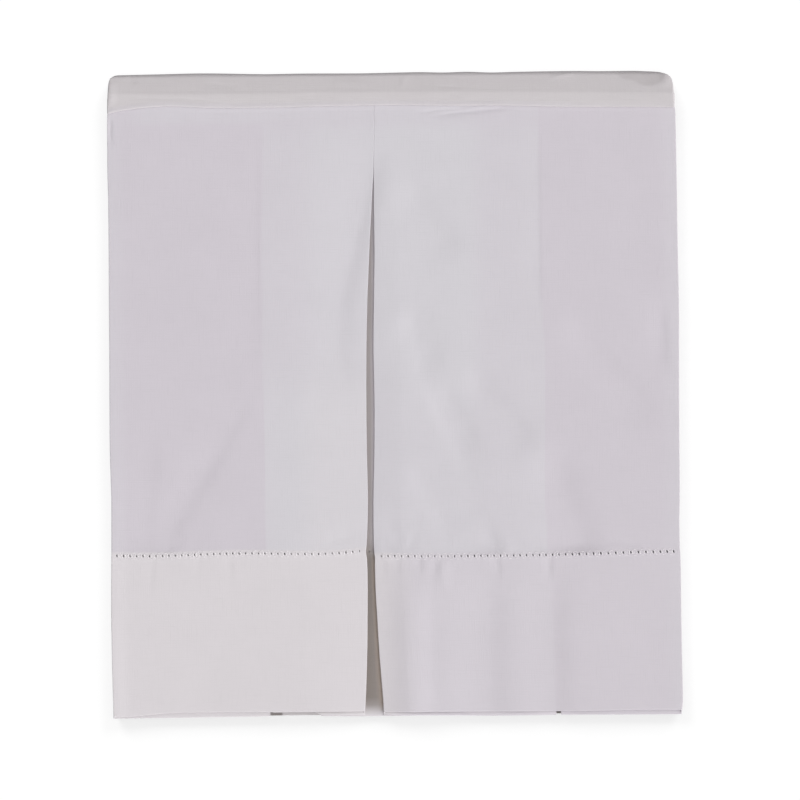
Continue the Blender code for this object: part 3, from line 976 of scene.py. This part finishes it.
# %% Creases of the band
BAND_CREASES = (
    Crease("left end's roll", -176.8, 181.0, -176.8, 199.5, 1.2, 2.6, 0.6),
    Crease("corner's fold", 173.5, 202.0, 170.5, 190.5, 2.2, 2.2, 0.5),
    Crease("nick", -167.0, 201.0, -160.0, 195.5, 1.4, 1.4, -0.5),
    Crease("curved wrinkle", 9.0, 201.0, 5.5, 191.0, 1.0, 1.4, 0.28),
    *creases(
        "wrinkle",
        (26.0, 193.6, 46.0, 191.6, 0.9, 1.2, -0.28),
        (98.0, 197.2, 114.0, 200.6, 1.2, 1.2, 0.35),
        (36.0, 190.0, 44.0, 185.6, 1.0, 1.2, -0.2),
        (-120.0, 196.0, -96.0, 192.6, 1.4, 1.6, -0.18),
        (-40.0, 197.0, -12.0, 193.0, 1.5, 1.8, 0.18),
        (-60.0, 189.4, -30.0, 190.6, 1.2, 1.2, 0.12),
        (-166.0, 187.2, -128.0, 185.8, 0.7, 1.6, -0.16),
        (-138.0, 186.6, -112.0, 184.6, 0.8, 1.4, -0.14),
        (150.0, 190.0, 168.0, 186.0, 1.6, 2.4, -0.16),
    ),
)
ALLOWANCE_EDGE = 9.6  # how far the seam allowance reaches up behind the band
ALLOWANCE_LINE = line((-178.0, 189.6), (-120.0, 189.0), (20.0, 189.4), (177.0, 187.7))
CORNER_EDGE = line(  # the corner's patch of cloth with nothing behind it lies above this line
    (134.0, 204.0), (138.7, 200.5), (143.3, 196.8), (150.9, 194.9), (155.7, 192.5), (161.6, 191.6),
    (167.2, 193.4), (170.4, 197.0), (172.5, 204.0),
)
CORNER_SLOPE = 0.12
print(len(BAND_CREASES), "creases in the band")

# %% Relief of the band
RIDGE_HEIGHT, RIDGE_WIDTH = 0.34, 1.7
RIDGE_UNEVENNESS, RIDGE_SPOTS, RIDGE_SLICE = 0.5, 14.0, 7.0
RIDGE_RIGHT, RIDGE_FLATTENS = 0.2, (85.0, 130.0)
STEP_DEPTH, STEP_BELOW, STEP_ABOVE = 0.12, 1.5, 2.0  # at the seam allowance's edge
WANDER, WANDER_ACROSS, WANDER_UP, WANDER_SLICE = 0.1, 22.0, 6.0, 3.0


def band_relief(x, y, above):
    """How far the band stands off its plain height, at this distance above the seam."""
    uneven = 1.0 + RIDGE_UNEVENNESS * noise.noise(Vector((x / RIDGE_SPOTS, RIDGE_SLICE, 0.0)))
    flattened = blend(1.0, RIDGE_RIGHT, ease(x, *RIDGE_FLATTENS))
    ridge = flattened * RIDGE_HEIGHT * bell(above, RIDGE_WIDTH) * uneven
    edge = read_at(ALLOWANCE_LINE, x)
    step = -STEP_DEPTH * ease(y, edge - STEP_BELOW, edge + STEP_ABOVE)
    wander = WANDER * noise.noise(Vector((x / WANDER_ACROSS, y / WANDER_UP, WANDER_SLICE)))
    corner = -CORNER_SLOPE * max(y - read_at(CORNER_EDGE, x), 0.0) if x > CORNER_EDGE[0].x else 0.0
    return ridge + step + wander + corner + creases_at(BAND_CREASES, x, y)


print("just above the seam's middle:", round(band_relief(0.0, 182.0, 0.4), 2), "mm")

# %% The path round the roll
RELIEF_ENDS = (1.2, 1.8)  # along the roll
RIPPLE_STARTS, RIPPLE_SIZE, RIPPLE_SLICE = (2.0, 2.1), 40.0, 5.0


def path_point(along, x, front_z, back_z, reach, relief):
    """The point at this place on a line up the front, round the roll at the top and down the back."""
    seam = read_at(SEAM_LINE, x)
    if along < 0.0:
        return Vector((x, seam - along * ALLOWANCE_EDGE, front_z - (BAND_Z - ALLOWANCE_Z)))
    radius = 0.5 * (front_z - back_z)
    if along <= 1.0:
        y = blend(seam, ROLL_Y, along)
        return Vector((x, y, front_z + (band_relief(x, y, y - seam) if relief else 0.0)))
    if along < 2.0:
        angle = pi * (along - 1.0)
        y = ROLL_Y + reach * sin(angle)
        rise = band_relief(x, y, y - seam) * (1.0 - ease(along, *RELIEF_ENDS)) if relief else 0.0
        return Vector((x, y, back_z + radius * (1.0 + cos(angle)) + rise))
    return Vector((x, blend(ROLL_Y, BACK_END, along - 2.0), back_z))


def band_point(along, x):
    point = path_point(along, x, BAND_Z, PLATFORM_BACK_Z, ROLL_REACH + read_at(TOP_LINE, x), True)
    if along >= 2.0:
        place = Vector((x / RIPPLE_SIZE, point.y / RIPPLE_SIZE, RIPPLE_SLICE))
        ripple = 0.5 + 0.5 * noise.noise(place)
        point.z += BACK_RIPPLE * ripple * ease(along, *RIPPLE_STARTS)
    return point


def wing_point(along, x):
    front_z = blend(PLATFORM_FRONT_WING_Z, WING_ROLL_Z, ease(along, WING_BULB_START, 1.0))
    return path_point(along, x, front_z, PLATFORM_WING_Z, WING_ROLL_REACH, False)


top = band_point(1.5, 0.0)
print("the roll's top edge is at", round(top.y, 1), "mm, at a height of", round(top.z, 1), "mm")

# %% The grid of the platform cloth
PLATFORM_ACROSS = 236
PLATFORM_WING_COLUMNS = 8


def platform_section(along):
    left = read(PLATFORM_SIDES, "along", max(along, 0.0), "left")
    right = read(PLATFORM_SIDES, "along", max(along, 0.0), "right")
    reach = 0.5 * FOLD_REACH * (band_point(along, left) - wing_point(along, left)).length
    first, last = left + reach + 0.5 * CLOTH, right - reach - 0.5 * CLOTH
    left_wing = [wing_point(along, x) for x in spread(LEFT_WING_END, first, PLATFORM_WING_COLUMNS)]
    inner = spread(first + EDGE_COLUMN, last - EDGE_COLUMN, PLATFORM_ACROSS)
    band = [band_point(along, x) for x in (first, *inner, last)]
    right_wing = [wing_point(along, x) for x in spread(last, RIGHT_WING_END, PLATFORM_WING_COLUMNS)]
    left_fold = fold_points(left_wing[-1], band[0], -reach)
    right_fold = fold_points(band[-1], right_wing[0], reach)
    return left_wing + left_fold + band + right_fold + right_wing


SEAM_TURN_REACH = 0.45
ALLOWANCE_STATIONS = [-0.9, -0.5, -0.15, -0.001]  # below zero the cloth is inside the seam


def seam_turn(angle):
    """The cloth going round the ridge at the seam, from the allowance below to the band above."""
    low, high = platform_section(ALLOWANCE_STATIONS[-1]), platform_section(0.0)
    drop = Vector((0.0, SEAM_TURN_REACH * sin(angle), 0.0))
    return [blend(a, b, 0.5 - 0.5 * cos(angle)) - drop for a, b in zip(low, high)]


BAND_STATIONS = spread(0.0, 1.0, 27)
ROLL_STATIONS = spread(1.0, 2.0, 15)[1:]
BACK_STATIONS = [2.0 + share for share in (0.01, 0.03, 0.06, *spread(0.1, 0.97, 26), 1.0)]
platform_grid = [platform_section(along) for along in ALLOWANCE_STATIONS]
platform_grid += [seam_turn(angle) for angle in BOTTOM_FOLD]
platform_grid += [platform_section(along) for along in BAND_STATIONS + ROLL_STATIONS + BACK_STATIONS]
print(len(platform_grid), "x", len(platform_grid[0]), "points in the platform cloth")

# %% Attributes of the platform cloth
# Its "backing" is the seam allowance behind it, its "hem" the ridge along the seam, doubled cloth with a
# painted highlight, and "inside" marks where it is darker: in the corner, where it lies alone, and with
# painted shade at the bottom, where it shows in the gaps between the layers above.
# the platform cloth is painted dark, as shade, where it shows in these gaps at the bottom
BOTTOM_GAPS, GAPS_TOP = ((-79.5, -72.0), (98.5, 103.5)), -190.0
ALLOWANCE_SOFTNESS = 0.8
RIDGE_PLACE, RIDGE_TONE_WIDTH = 1.0, 1.6  # above the seam: the ridge's doubled cloth, also painted lighter as a highlight
RIDGE_FADE, RIDGE_FADES = 0.7, (85.0, 150.0)
CORNER_TONE, PAST_CORNER = 0.15, (-0.4, 1.6)


def platform_values(rows):
    values = {"backing": [], "hem": [], "inside": []}
    for points in rows:
        for point in points:
            above = point.y - read_at(SEAM_LINE, point.x)
            edge = read_at(ALLOWANCE_LINE, point.x)
            past_edge = ease(point.y, edge - ALLOWANCE_SOFTNESS, edge + ALLOWANCE_SOFTNESS)
            values["backing"].append(1.0 - past_edge)
            # the ridge is lighter for its doubled cloth and for a painted highlight, which fades as the
            # ridge flattens
            flattened = 1.0 - RIDGE_FADE * ease(point.x, *RIDGE_FADES)
            values["hem"].append(flattened * bell(above - RIDGE_PLACE, RIDGE_TONE_WIDTH))
            # a darker tone where the cloth lies alone in the corner, and full painted shade in the gaps
            alone = CORNER_TONE * ease(point.y - read_at(CORNER_EDGE, point.x), *PAST_CORNER)
            in_gap = any(start < point.x < end for start, end in BOTTOM_GAPS) and point.y < GAPS_TOP
            values["inside"].append(1.0 if in_gap else alone)
    return values


platform_mesh = sheet_mesh("platform_cloth", platform_grid, platform_values(platform_grid))
print("one ply of platform cloth:", round(area_of(platform_mesh), 3), "m2")

# %% [markdown]
# ## Finishes
# Both cloths are matt plain weaves of cotton: light scatters in the threads, so there is no gloss, only a
# slight sheen where they are seen at a flat angle. One function turns the hex colours of a paint chart
# into the linear numbers that Blender mixes.

# %% Colours
def linear(hex_code):
    channels = [int(hex_code[i : i + 2], 16) / 255.0 for i in (0, 2, 4)]
    return (*[c / 12.92 if c <= 0.04045 else ((c + 0.055) / 1.055) ** 2.4 for c in channels], 1.0)


COLOURS = {
    "percale": "C9C3CA",
    "percale backed": "CCC9CE",
    "percale hem": "D2CDD0",
    # painted shade inside the pleat, and painted light beside the slot
    "percale painted shade": "857D78",
    "percale painted light": "AC9E94",
    "sheeting": "C0BBBD",
    "sheeting backed": "C8C3C5",
    # doubled cloth along the seam's ridge, with a painted highlight
    "sheeting doubled ridge and highlight": "CCC7CB",
    # a darker tone where the cloth lies alone, and painted shade in the gaps at the bottom
    "sheeting alone and painted shade": "857E7C",
    "thread": "EAE6E8",
}
print({name: [round(channel, 3) for channel in linear(code)[:3]] for name, code in COLOURS.items()})

# %% [markdown]
# ## Cotton percale
# Percale is a tight one-over-one weave of fine threads, about four to the millimetre. That is finer than
# a pixel here, so the weave is drawn at 1.1 mm to the thread, and faintly. What does show on the real
# cloth are its slubs: threads that are a little thick for a centimetre or two, running both ways.

# %% Helpers for node trees
def add_node(tree, kind, inputs=None, **settings):
    """A node with its settings. An input is set to a value, or linked to a socket or a node's first one."""
    node = tree.nodes.new(kind)
    for name, value in settings.items():
        setattr(node, name, value)
    for socket, value in (inputs or {}).items():
        if isinstance(value, bpy.types.Node):
            tree.links.new(value.outputs[0], node.inputs[socket])
        elif isinstance(value, bpy.types.NodeSocket):
            tree.links.new(value, node.inputs[socket])
        else:
            node.inputs[socket].default_value = value
    return node


def new_material(name, sizes):
    """A material whose shader has these values. Returns it with its tree and its shader."""
    material = bpy.data.materials.new(name)
    material.use_nodes = True
    shader = material.node_tree.nodes["Principled BSDF"]
    for socket, value in sizes.items():
        shader.inputs[socket].default_value = value
    return material, material.node_tree, shader

# %% The cloth material
WEAVE_PITCH = 1.1  # mm, drawn coarser than the real 0.25 mm, so that it shows at all
WAVE_SCALE = 0.314  # a Wave texture of this scale has one band to the unit
SLUB_LENGTH, SLUB_WIDTH = 14.0, 0.7  # mm
SLUB_START, SLUB_FULL = 0.5, 0.78  # where in the noise a slub is
SLUB_SHADE = -0.03
MOTTLE_SIZE = 30.0  # mm
MOTTLE_SHADE, ROUGHNESS = (0.975, 1.025), (0.84, 0.94)
COTTON = {"IOR": 1.5, "Specular IOR Level": 0.2, "Sheen Weight": 0.08, "Sheen Roughness": 0.5}


def cloth_material(name, plain, marked, weave_depth, slub_depth):
    """Plain-weave cotton: matt, with faint slubs, lighter doubled parts, and the painted shade and light of
    its marks.
    """
    material, tree, shader = new_material(name, COTTON)
    uv = add_node(tree, "ShaderNodeUVMap", uv_map="cloth")

    colour = linear(COLOURS[plain])
    for key, other in marked.items():
        mark = add_node(tree, "ShaderNodeAttribute", attribute_name=key).outputs["Fac"]
        shares = {"Factor": mark, 6: colour, 7: linear(COLOURS[other])}  # inputs 6 and 7 are colours
        colour = add_node(tree, "ShaderNodeMix", shares, data_type="RGBA").outputs[2]

    spots = {"Vector": uv, "Scale": 1.0 / (MOTTLE_SIZE * MM), "Detail": 3.0, "Roughness": 0.55}
    mottle = add_node(tree, "ShaderNodeTexNoise", spots)
    low, high = MOTTLE_SHADE
    soft = add_node(tree, "ShaderNodeMapRange", {"Value": mottle, "To Min": low, "To Max": high})

    grain = {"Scale": WAVE_SCALE / (WEAVE_PITCH * MM), "Distortion": 0.4, "Detail": 1.0, "Detail Scale": 2.0}
    threads = []
    for along in ("X", "Y"):
        wave = add_node(tree, "ShaderNodeTexWave", {"Vector": uv, **grain}, bands_direction=along)
        threads.append(wave.outputs["Fac"])
    weave = add_node(tree, "ShaderNodeMath", {0: threads[0], 1: threads[1]}, operation="MULTIPLY")

    slubs = []
    for size in ((SLUB_LENGTH, SLUB_WIDTH, 1.0), (SLUB_WIDTH, SLUB_LENGTH, 1.0)):
        stretch = Vector([1.0 / length for length in size]) / MM
        turned = add_node(tree, "ShaderNodeMapping", {"Vector": uv, "Scale": stretch})
        streaks = add_node(tree, "ShaderNodeTexNoise", {"Vector": turned, "Scale": 1.0, "Detail": 2.0})
        thick = {"Value": streaks, "From Min": SLUB_START, "From Max": SLUB_FULL}
        slubs.append(add_node(tree, "ShaderNodeMapRange", thick))
    slub = add_node(tree, "ShaderNodeMath", {0: slubs[0], 1: slubs[1]}, operation="MAXIMUM")

    shade = add_node(tree, "ShaderNodeMath", {0: slub, 1: SLUB_SHADE, 2: soft}, operation="MULTIPLY_ADD")
    toned = add_node(tree, "ShaderNodeVectorMath", {0: colour, "Scale": shade}, operation="SCALE")
    tree.links.new(toned.outputs["Vector"], shader.inputs["Base Color"])

    bumps = {"Strength": 1.0}
    for pattern, depth in ((weave, weave_depth), (slub, slub_depth)):
        bumps |= {"Height": pattern, "Distance": depth * MM}
        bumped = add_node(tree, "ShaderNodeBump", bumps)
        bumps["Normal"] = bumped
    tree.links.new(bumped.outputs["Normal"], shader.inputs["Normal"])
    low, high = ROUGHNESS
    rough = add_node(tree, "ShaderNodeMapRange", {"Value": mottle, "To Min": low, "To Max": high})
    tree.links.new(rough.outputs["Result"], shader.inputs["Roughness"])
    return material

# %% Percale and sheeting
percale = cloth_material(
    "cotton percale",
    "percale",
    {
        "backing": "percale backed",
        "hem": "percale hem",
        # painted shade inside the pleat, and painted light beside the slot
        "inside": "percale painted shade",
        "glow": "percale painted light",
    },
    weave_depth=0.012,
    slub_depth=0.03,
)
# Sheeting is the same weave in thicker, less bleached thread: greyer, and a little rougher to the eye.
sheeting = cloth_material(
    "cotton sheeting",
    "sheeting",
    # the ridge is painted lighter, partly as a highlight, and the bottom gaps darker, as painted shade
    {"backing": "sheeting backed", "hem": "sheeting doubled ridge and highlight", "inside": "sheeting alone and painted shade"},
    weave_depth=0.02,
    slub_depth=0.045,
)
print("materials:", percale.name, "and", sheeting.name)

# %% Sewing thread
TWIST_PITCH = 0.3  # mm
TWIST_ANGLE = radians(35.0)
TWIST_SHADE = (0.9, 1.0)


def thread_material():
    """Mercerised cotton thread. Its twist gives fine slanting lines, and its finish a soft gloss."""
    finish = {"Roughness": 0.6, "Specular IOR Level": 0.3}
    material, tree, shader = new_material("mercerised cotton thread", finish)
    place = add_node(tree, "ShaderNodeTexCoord").outputs["Object"]
    turned = add_node(tree, "ShaderNodeMapping", {"Vector": place, "Rotation": (0.0, 0.0, TWIST_ANGLE)})
    plies = {"Vector": turned, "Scale": WAVE_SCALE / (TWIST_PITCH * MM)}
    twist = add_node(tree, "ShaderNodeTexWave", plies).outputs["Fac"]
    low, high = TWIST_SHADE
    lit = add_node(tree, "ShaderNodeMapRange", {"Value": twist, "To Min": low, "To Max": high})
    plain = linear(COLOURS["thread"])[:3]
    toned = add_node(tree, "ShaderNodeVectorMath", {0: plain, "Scale": lit}, operation="SCALE")
    tree.links.new(toned.outputs["Vector"], shader.inputs["Base Color"])
    return material


thread = thread_material()
print("material:", thread.name)

# %% [markdown]
# ## Drawn-thread holes
# A hemstitching machine pushes the threads apart with a blunt needle, so the cloth has real holes with a
# bar of thread between each two. They repeat, so Geometry Nodes cut them: the tree moves the eight points
# round each marked middle to the hole's shape and deletes the middle. Its inputs are the hole's width,
# height and slant.

# %% Helpers for Geometry Nodes
def geometry_tree(name, sizes):
    """An empty Geometry Nodes tree with named inputs. Returns it with its input and output nodes."""
    tree = bpy.data.node_groups.new(name, "GeometryNodeTree")
    tree.interface.new_socket("Geometry", in_out="INPUT", socket_type="NodeSocketGeometry")
    for label, kind in sizes.items():
        tree.interface.new_socket(label, in_out="INPUT", socket_type=kind)
    tree.interface.new_socket("Geometry", in_out="OUTPUT", socket_type="NodeSocketGeometry")
    return tree, tree.nodes.new("NodeGroupInput"), tree.nodes.new("NodeGroupOutput")


def finish_tree(tree, shape, material, result):
    """The end of both trees: instances become real geometry, and get their material."""
    real = add_node(tree, "GeometryNodeRealizeInstances", {"Geometry": shape})
    finished = add_node(tree, "GeometryNodeSetMaterial", {"Geometry": real, "Material": material})
    tree.links.new(finished.outputs["Geometry"], result.inputs["Geometry"])


def evaluated_mesh(thing):
    """A new mesh of the object as its modifiers leave it."""
    graph = bpy.context.evaluated_depsgraph_get()
    shown = thing.evaluated_get(graph)
    return bpy.data.meshes.new_from_object(shown, preserve_all_data_layers=True, depsgraph=graph)


def made_plain(thing, tree, sizes):
    """Runs a tree on an object with these sizes. The result is a plain mesh, without the modifier."""
    modifier = thing.modifiers.new(tree.name, "NODES")
    modifier.node_group = tree
    for item in tree.interface.items_tree:
        if item.in_out == "INPUT" and item.name in sizes:
            modifier[item.identifier] = sizes[item.name]
    mesh = evaluated_mesh(thing)
    thing.modifiers.remove(modifier)
    return mesh

# %% The tree that draws the threads apart
def hole_tree(material):
    """The tree that moves each hole's rim and deletes its middle."""
    sizes = {"Hole width": "NodeSocketFloat", "Hole height": "NodeSocketFloat", "Slant": "NodeSocketFloat"}
    tree, given, result = geometry_tree("drawn-thread holes", sizes)
    marks = {}
    kinds = {"middle": "FLOAT", "rim": "FLOAT", "pull": "FLOAT_VECTOR", "unit": "FLOAT_VECTOR"}
    for name, kind in kinds.items():
        node = add_node(tree, "GeometryNodeInputNamedAttribute", {"Name": "hole_" + name}, data_type=kind)
        marks[name] = node.outputs["Attribute"]
    parts = add_node(tree, "ShaderNodeSeparateXYZ", {"Vector": marks["unit"]}).outputs
    width, height, slant = (given.outputs[label] for label in sizes)
    wide = add_node(tree, "ShaderNodeMath", {0: parts["X"], 1: width}, operation="MULTIPLY")
    high = add_node(tree, "ShaderNodeMath", {0: parts["Y"], 1: height}, operation="MULTIPLY")
    lean = add_node(tree, "ShaderNodeMath", {0: parts["Z"], 1: slant, 2: wide}, operation="MULTIPLY_ADD")
    shape = add_node(tree, "ShaderNodeCombineXYZ", {"X": lean, "Y": high})
    offset = add_node(tree, "ShaderNodeVectorMath", {0: marks["pull"], 1: shape}, operation="ADD")
    moves = {"Geometry": given, "Selection": marks["rim"], "Offset": offset}
    moved = add_node(tree, "GeometryNodeSetPosition", moves)
    middle = {"Geometry": moved, "Selection": marks["middle"]}
    cut = add_node(tree, "GeometryNodeDeleteGeometry", middle, domain="POINT")
    finish_tree(tree, cut, material, result)
    return tree


whole_cloth = link(bpy.data.objects.new("whole_cloth", skirt_mesh))
cut_mesh = made_plain(
    whole_cloth,
    hole_tree(percale),
    {"Hole width": HOLE_WIDTH * MM, "Hole height": HOLE_HEIGHT * MM, "Slant": HOLE_SLANT * MM},
)
bpy.data.objects.remove(whole_cloth)
print("faces before and after the holes:", len(skirt_mesh.polygons), len(cut_mesh.polygons))

# %% [markdown]
# ## The two cloths
# Each fine sheet gets its thickness from Solidify and replaces its CAD node. The node stays in the
# physics model for collision and isn't shown.

# %% Sheets with thickness
SHARP_ANGLE = radians(50.0)


def cloth_piece(name, mesh, material):
    mesh.materials.clear()
    mesh.materials.append(material)
    ply = link(bpy.data.objects.new(name, mesh))
    solidify = ply.modifiers.new("cloth thickness", "SOLIDIFY")
    solidify.thickness = CLOTH * MM
    solidify.offset = 0.0
    thick = evaluated_mesh(ply)
    bpy.data.objects.remove(ply)
    thick.set_sharp_from_angle(angle=SHARP_ANGLE)
    return link(bpy.data.objects.new(name, thick))


skirt = cloth_piece("skirt_cloth", cut_mesh, percale)
platform = cloth_piece("platform_cloth", platform_mesh, sheeting)
for piece in (skirt, platform):
    print(piece.name, len(piece.data.polygons), "faces")

# %% [markdown]
# ## Threads
# The machine's thread wraps the bars between the holes and leaves a short stitch above and below each.
# They repeat, so one tree lays them: it puts a slim pad of thread on every point of a guide mesh, turned
# by the point's own angle, with a seeded difference in size. The platform cloth's far end has a plain row
# of them.

# %% The tree that lays stitches
def stitch_tree(material):
    """The tree that puts a pad of thread on each point of its guide."""
    sizes = {
        "Stitch length": "NodeSocketFloat",
        "Thread width": "NodeSocketFloat",
        "Unevenness": "NodeSocketFloat",
        "Seed": "NodeSocketInt",
    }
    tree, given, result = geometry_tree("sewn stitches", sizes)
    length, width, unevenness, seed = (given.outputs[label] for label in sizes)
    pad = add_node(tree, "GeometryNodeMeshUVSphere", {"Segments": 8, "Rings": 5, "Radius": 0.5})
    turn = add_node(tree, "GeometryNodeInputNamedAttribute", {"Name": "turn"})
    lay = add_node(tree, "ShaderNodeCombineXYZ", {"Z": turn})
    size = add_node(tree, "ShaderNodeCombineXYZ", {"X": length, "Y": width, "Z": width})
    least = add_node(tree, "ShaderNodeMath", {0: 1.0, 1: unevenness}, operation="SUBTRACT")
    most = add_node(tree, "ShaderNodeMath", {0: 1.0, 1: unevenness}, operation="ADD")
    sizes_between = {"Min": least, "Max": most, "Seed": seed}
    uneven = add_node(tree, "FunctionNodeRandomValue", sizes_between, data_type="FLOAT").outputs[1]
    scale = add_node(tree, "ShaderNodeVectorMath", {0: size, "Scale": uneven}, operation="SCALE")
    laying = {"Points": given, "Instance": pad, "Rotation": lay, "Scale": scale}
    laid = add_node(tree, "GeometryNodeInstanceOnPoints", laying)
    finish_tree(tree, laid, material, result)
    return tree


STITCHES = stitch_tree(thread)
print(STITCHES.name, "has", len(STITCHES.nodes), "nodes")

# %% Lay a row of stitches
def stitches(name, places, length, width, unevenness, seed):
    """A mesh of stitches at places, each a point in mm and its angle."""
    mesh = bpy.data.meshes.new(name)
    mesh.from_pydata([point * MM for point, angle in places], [], [])
    turns = mesh.attributes.new("turn", "FLOAT", "POINT")
    for item, (point, angle) in zip(turns.data, places):
        item.value = angle
    guide = link(bpy.data.objects.new(name, mesh))
    sizes = {"Stitch length": length * MM, "Thread width": width * MM}
    plain = made_plain(guide, STITCHES, sizes | {"Unevenness": unevenness, "Seed": seed})
    bpy.data.objects.remove(guide)
    return plain

# %% Where the stitches lie
def on_front(side, x, off):
    """A point on the face of the front, this far above the hemstitched line."""
    y = read_at(HEMSTITCH_LINES[side], x) + off
    row = row_at(y)
    return Vector((x, y, front_z(side, x, row, y) + 0.5 * CLOTH))


BAR_OFF = 1.0  # from a hole's middle to the thread that pulls its side away
BAR_TURNS = (radians(100.0), radians(97.0))
RUNGS = ((1.7, radians(4.0)), (-1.8, radians(-4.0)))  # how far above the line, and the turn
FAR_HEM_DEPTH, FAR_HEM_HALF, FAR_HEM_STITCHES = 11.0, 170.0, 114
bars, rungs = [], []
for side in ("left", "right"):
    for a, b in zip(HOLES[side], HOLES[side][1:]):
        for x, turn in zip((a + BAR_OFF, b - BAR_OFF), BAR_TURNS):
            bars.append((on_front(side, x, 0.0), turn))
        for off, turn in RUNGS:
            rungs.append((on_front(side, 0.5 * (a + b), off), turn))
far_y, far_z = BACK_END + FAR_HEM_DEPTH, PLATFORM_BACK_Z - 0.5 * CLOTH
far_xs = spread(-FAR_HEM_HALF, FAR_HEM_HALF, FAR_HEM_STITCHES)
far_hem = [(Vector((x, far_y, far_z)), 0.0) for x in far_xs]
print(len(bars) + len(rungs), "stitches at the holes and", len(far_hem), "in the far hem")

# %% Sew
def joined(name, meshes):
    """One mesh of several, each with the thread's material."""
    things = [link(bpy.data.objects.new(name, mesh)) for mesh in meshes]
    with bpy.context.temp_override(active_object=things[0], selected_editable_objects=things):
        bpy.ops.object.join()
    things[0].name = name
    return things[0]


hem_stitches = [
    stitches("bars", bars, length=2.5, width=0.5, unevenness=0.18, seed=3),
    stitches("rungs", rungs, length=1.7, width=0.3, unevenness=0.25, seed=8),
]
far_stitches = stitches("far_hem", far_hem, length=2.2, width=0.22, unevenness=0.08, seed=5)
hem_thread = joined("hemstitch_thread", hem_stitches)
back_thread = joined("far_hem_thread", [far_stitches])
for piece in (hem_thread, back_thread):
    print(piece.name, len(piece.data.polygons), "faces")

# %% [markdown]
# ## Ties to the imported frame
# Every piece rides on the one body.

# %% Tie the pieces
for piece in (skirt, platform, hem_thread, back_thread):
    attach(piece, "root")
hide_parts("skirt")
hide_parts("platform")
print("tied:", [piece.name for piece in (skirt, platform, hem_thread, back_thread)])

# %% [markdown]
# ## Floor, light and camera
# The cloth lies on a plain white sheet and is seen from straight above. A broad key lamp rakes over the
# face from the right and a little from the hem, which is what makes such shallow folds show. A weak fill
# stands low on the left, and an even sky lights the rest. The floor glows faintly, so that it stays
# white, and two lamps of its own from beyond the top give it a soft shadow at the hem and the sides.

# %% Floor
PAPER = {
    "Base Color": linear("CBCBCB"),
    "Roughness": 0.95,
    "Specular IOR Level": 0.0,
    "Emission Color": (1.0, 1.0, 1.0, 1.0),
    "Emission Strength": 0.652,
}
FLOOR_GAP = 0.02  # mm below the cloth
FLOOR_SIZE = 6.0  # m
floor_mesh = bpy.data.meshes.new("floor")
half = 0.5 * FLOOR_SIZE
corners = [(-half, -half, 0.0), (half, -half, 0.0), (half, half, 0.0), (-half, half, 0.0)]
floor_mesh.from_pydata(corners, [], [(0, 1, 2, 3)])
floor_mesh.materials.append(new_material("white paper sweep", PAPER)[0])
floor = link(bpy.data.objects.new("floor", floor_mesh))
floor.location.z = -FLOOR_GAP * MM
floor.visible_diffuse = False  # so bright a floor would light the folds from below
print("floor:", FLOOR_SIZE, "m wide")

# %% Light
SKY_STRENGTH = 0.38
world = bpy.data.worlds.new("studio")
world.use_nodes = True
sky = world.node_tree.nodes["Background"].inputs
sky["Color"].default_value = (1.0, 1.0, 1.0, 1.0)
sky["Strength"].default_value = SKY_STRENGTH
bpy.context.scene.world = world


def lamp(name, strength, softness, direction, lit):
    """A sun this many degrees wide, from this direction, that lights these things alone."""
    data = bpy.data.lights.new(name, "SUN")
    data.energy = strength
    data.angle = radians(softness)
    sun = link(bpy.data.objects.new(name, data))
    sun.rotation_mode = "QUATERNION"
    sun.rotation_quaternion = Vector(direction).to_track_quat("Z", "Y")
    group = bpy.data.collections.new(name + " lights")
    for thing in lit:
        group.objects.link(thing)
    sun.light_linking.receiver_collection = group
    return sun


cloth_pieces = [skirt, platform, hem_thread, back_thread]
lamp("key", strength=3.16, softness=90.0, direction=(0.93, -0.33, 0.75), lit=cloth_pieces)
lamp("fill", strength=0.9, softness=60.0, direction=(-0.85, -0.5, 0.22), lit=cloth_pieces)
for side, strength in ((-1.0, 1.15), (1.0, 0.95)):
    lamp("floor lamp", strength, softness=28.0, direction=(0.5 * side, 0.75, 0.36), lit=[floor])
print(len(bpy.data.lights), "lamps and a sky of strength", SKY_STRENGTH)

# %% Camera
# The view is 501 mm wide at the height of the cloth's face, and the camera is turned a little.
VIEW_WIDTH = 501.3
VIEW_MIDDLE = (3.42, -3.60)
FACE_HEIGHT = 6.4
CAMERA_DISTANCE = 3000.0
CAMERA_TURN = radians(-0.43)
SENSOR = 36.0
camera_data = bpy.data.cameras.new("camera")
camera_data.sensor_width = SENSOR
camera_data.lens = SENSOR * CAMERA_DISTANCE / VIEW_WIDTH
camera_data.clip_start = 0.1
camera_data.clip_end = 20.0
camera = link(bpy.data.objects.new("camera", camera_data))
camera.location = Vector((*VIEW_MIDDLE, FACE_HEIGHT + CAMERA_DISTANCE)) * MM
camera.rotation_euler = (0.0, 0.0, CAMERA_TURN)
bpy.context.scene.camera = camera
bpy.context.scene.view_settings.view_transform = "Standard"
print("lens:", round(camera_data.lens, 1), "mm")
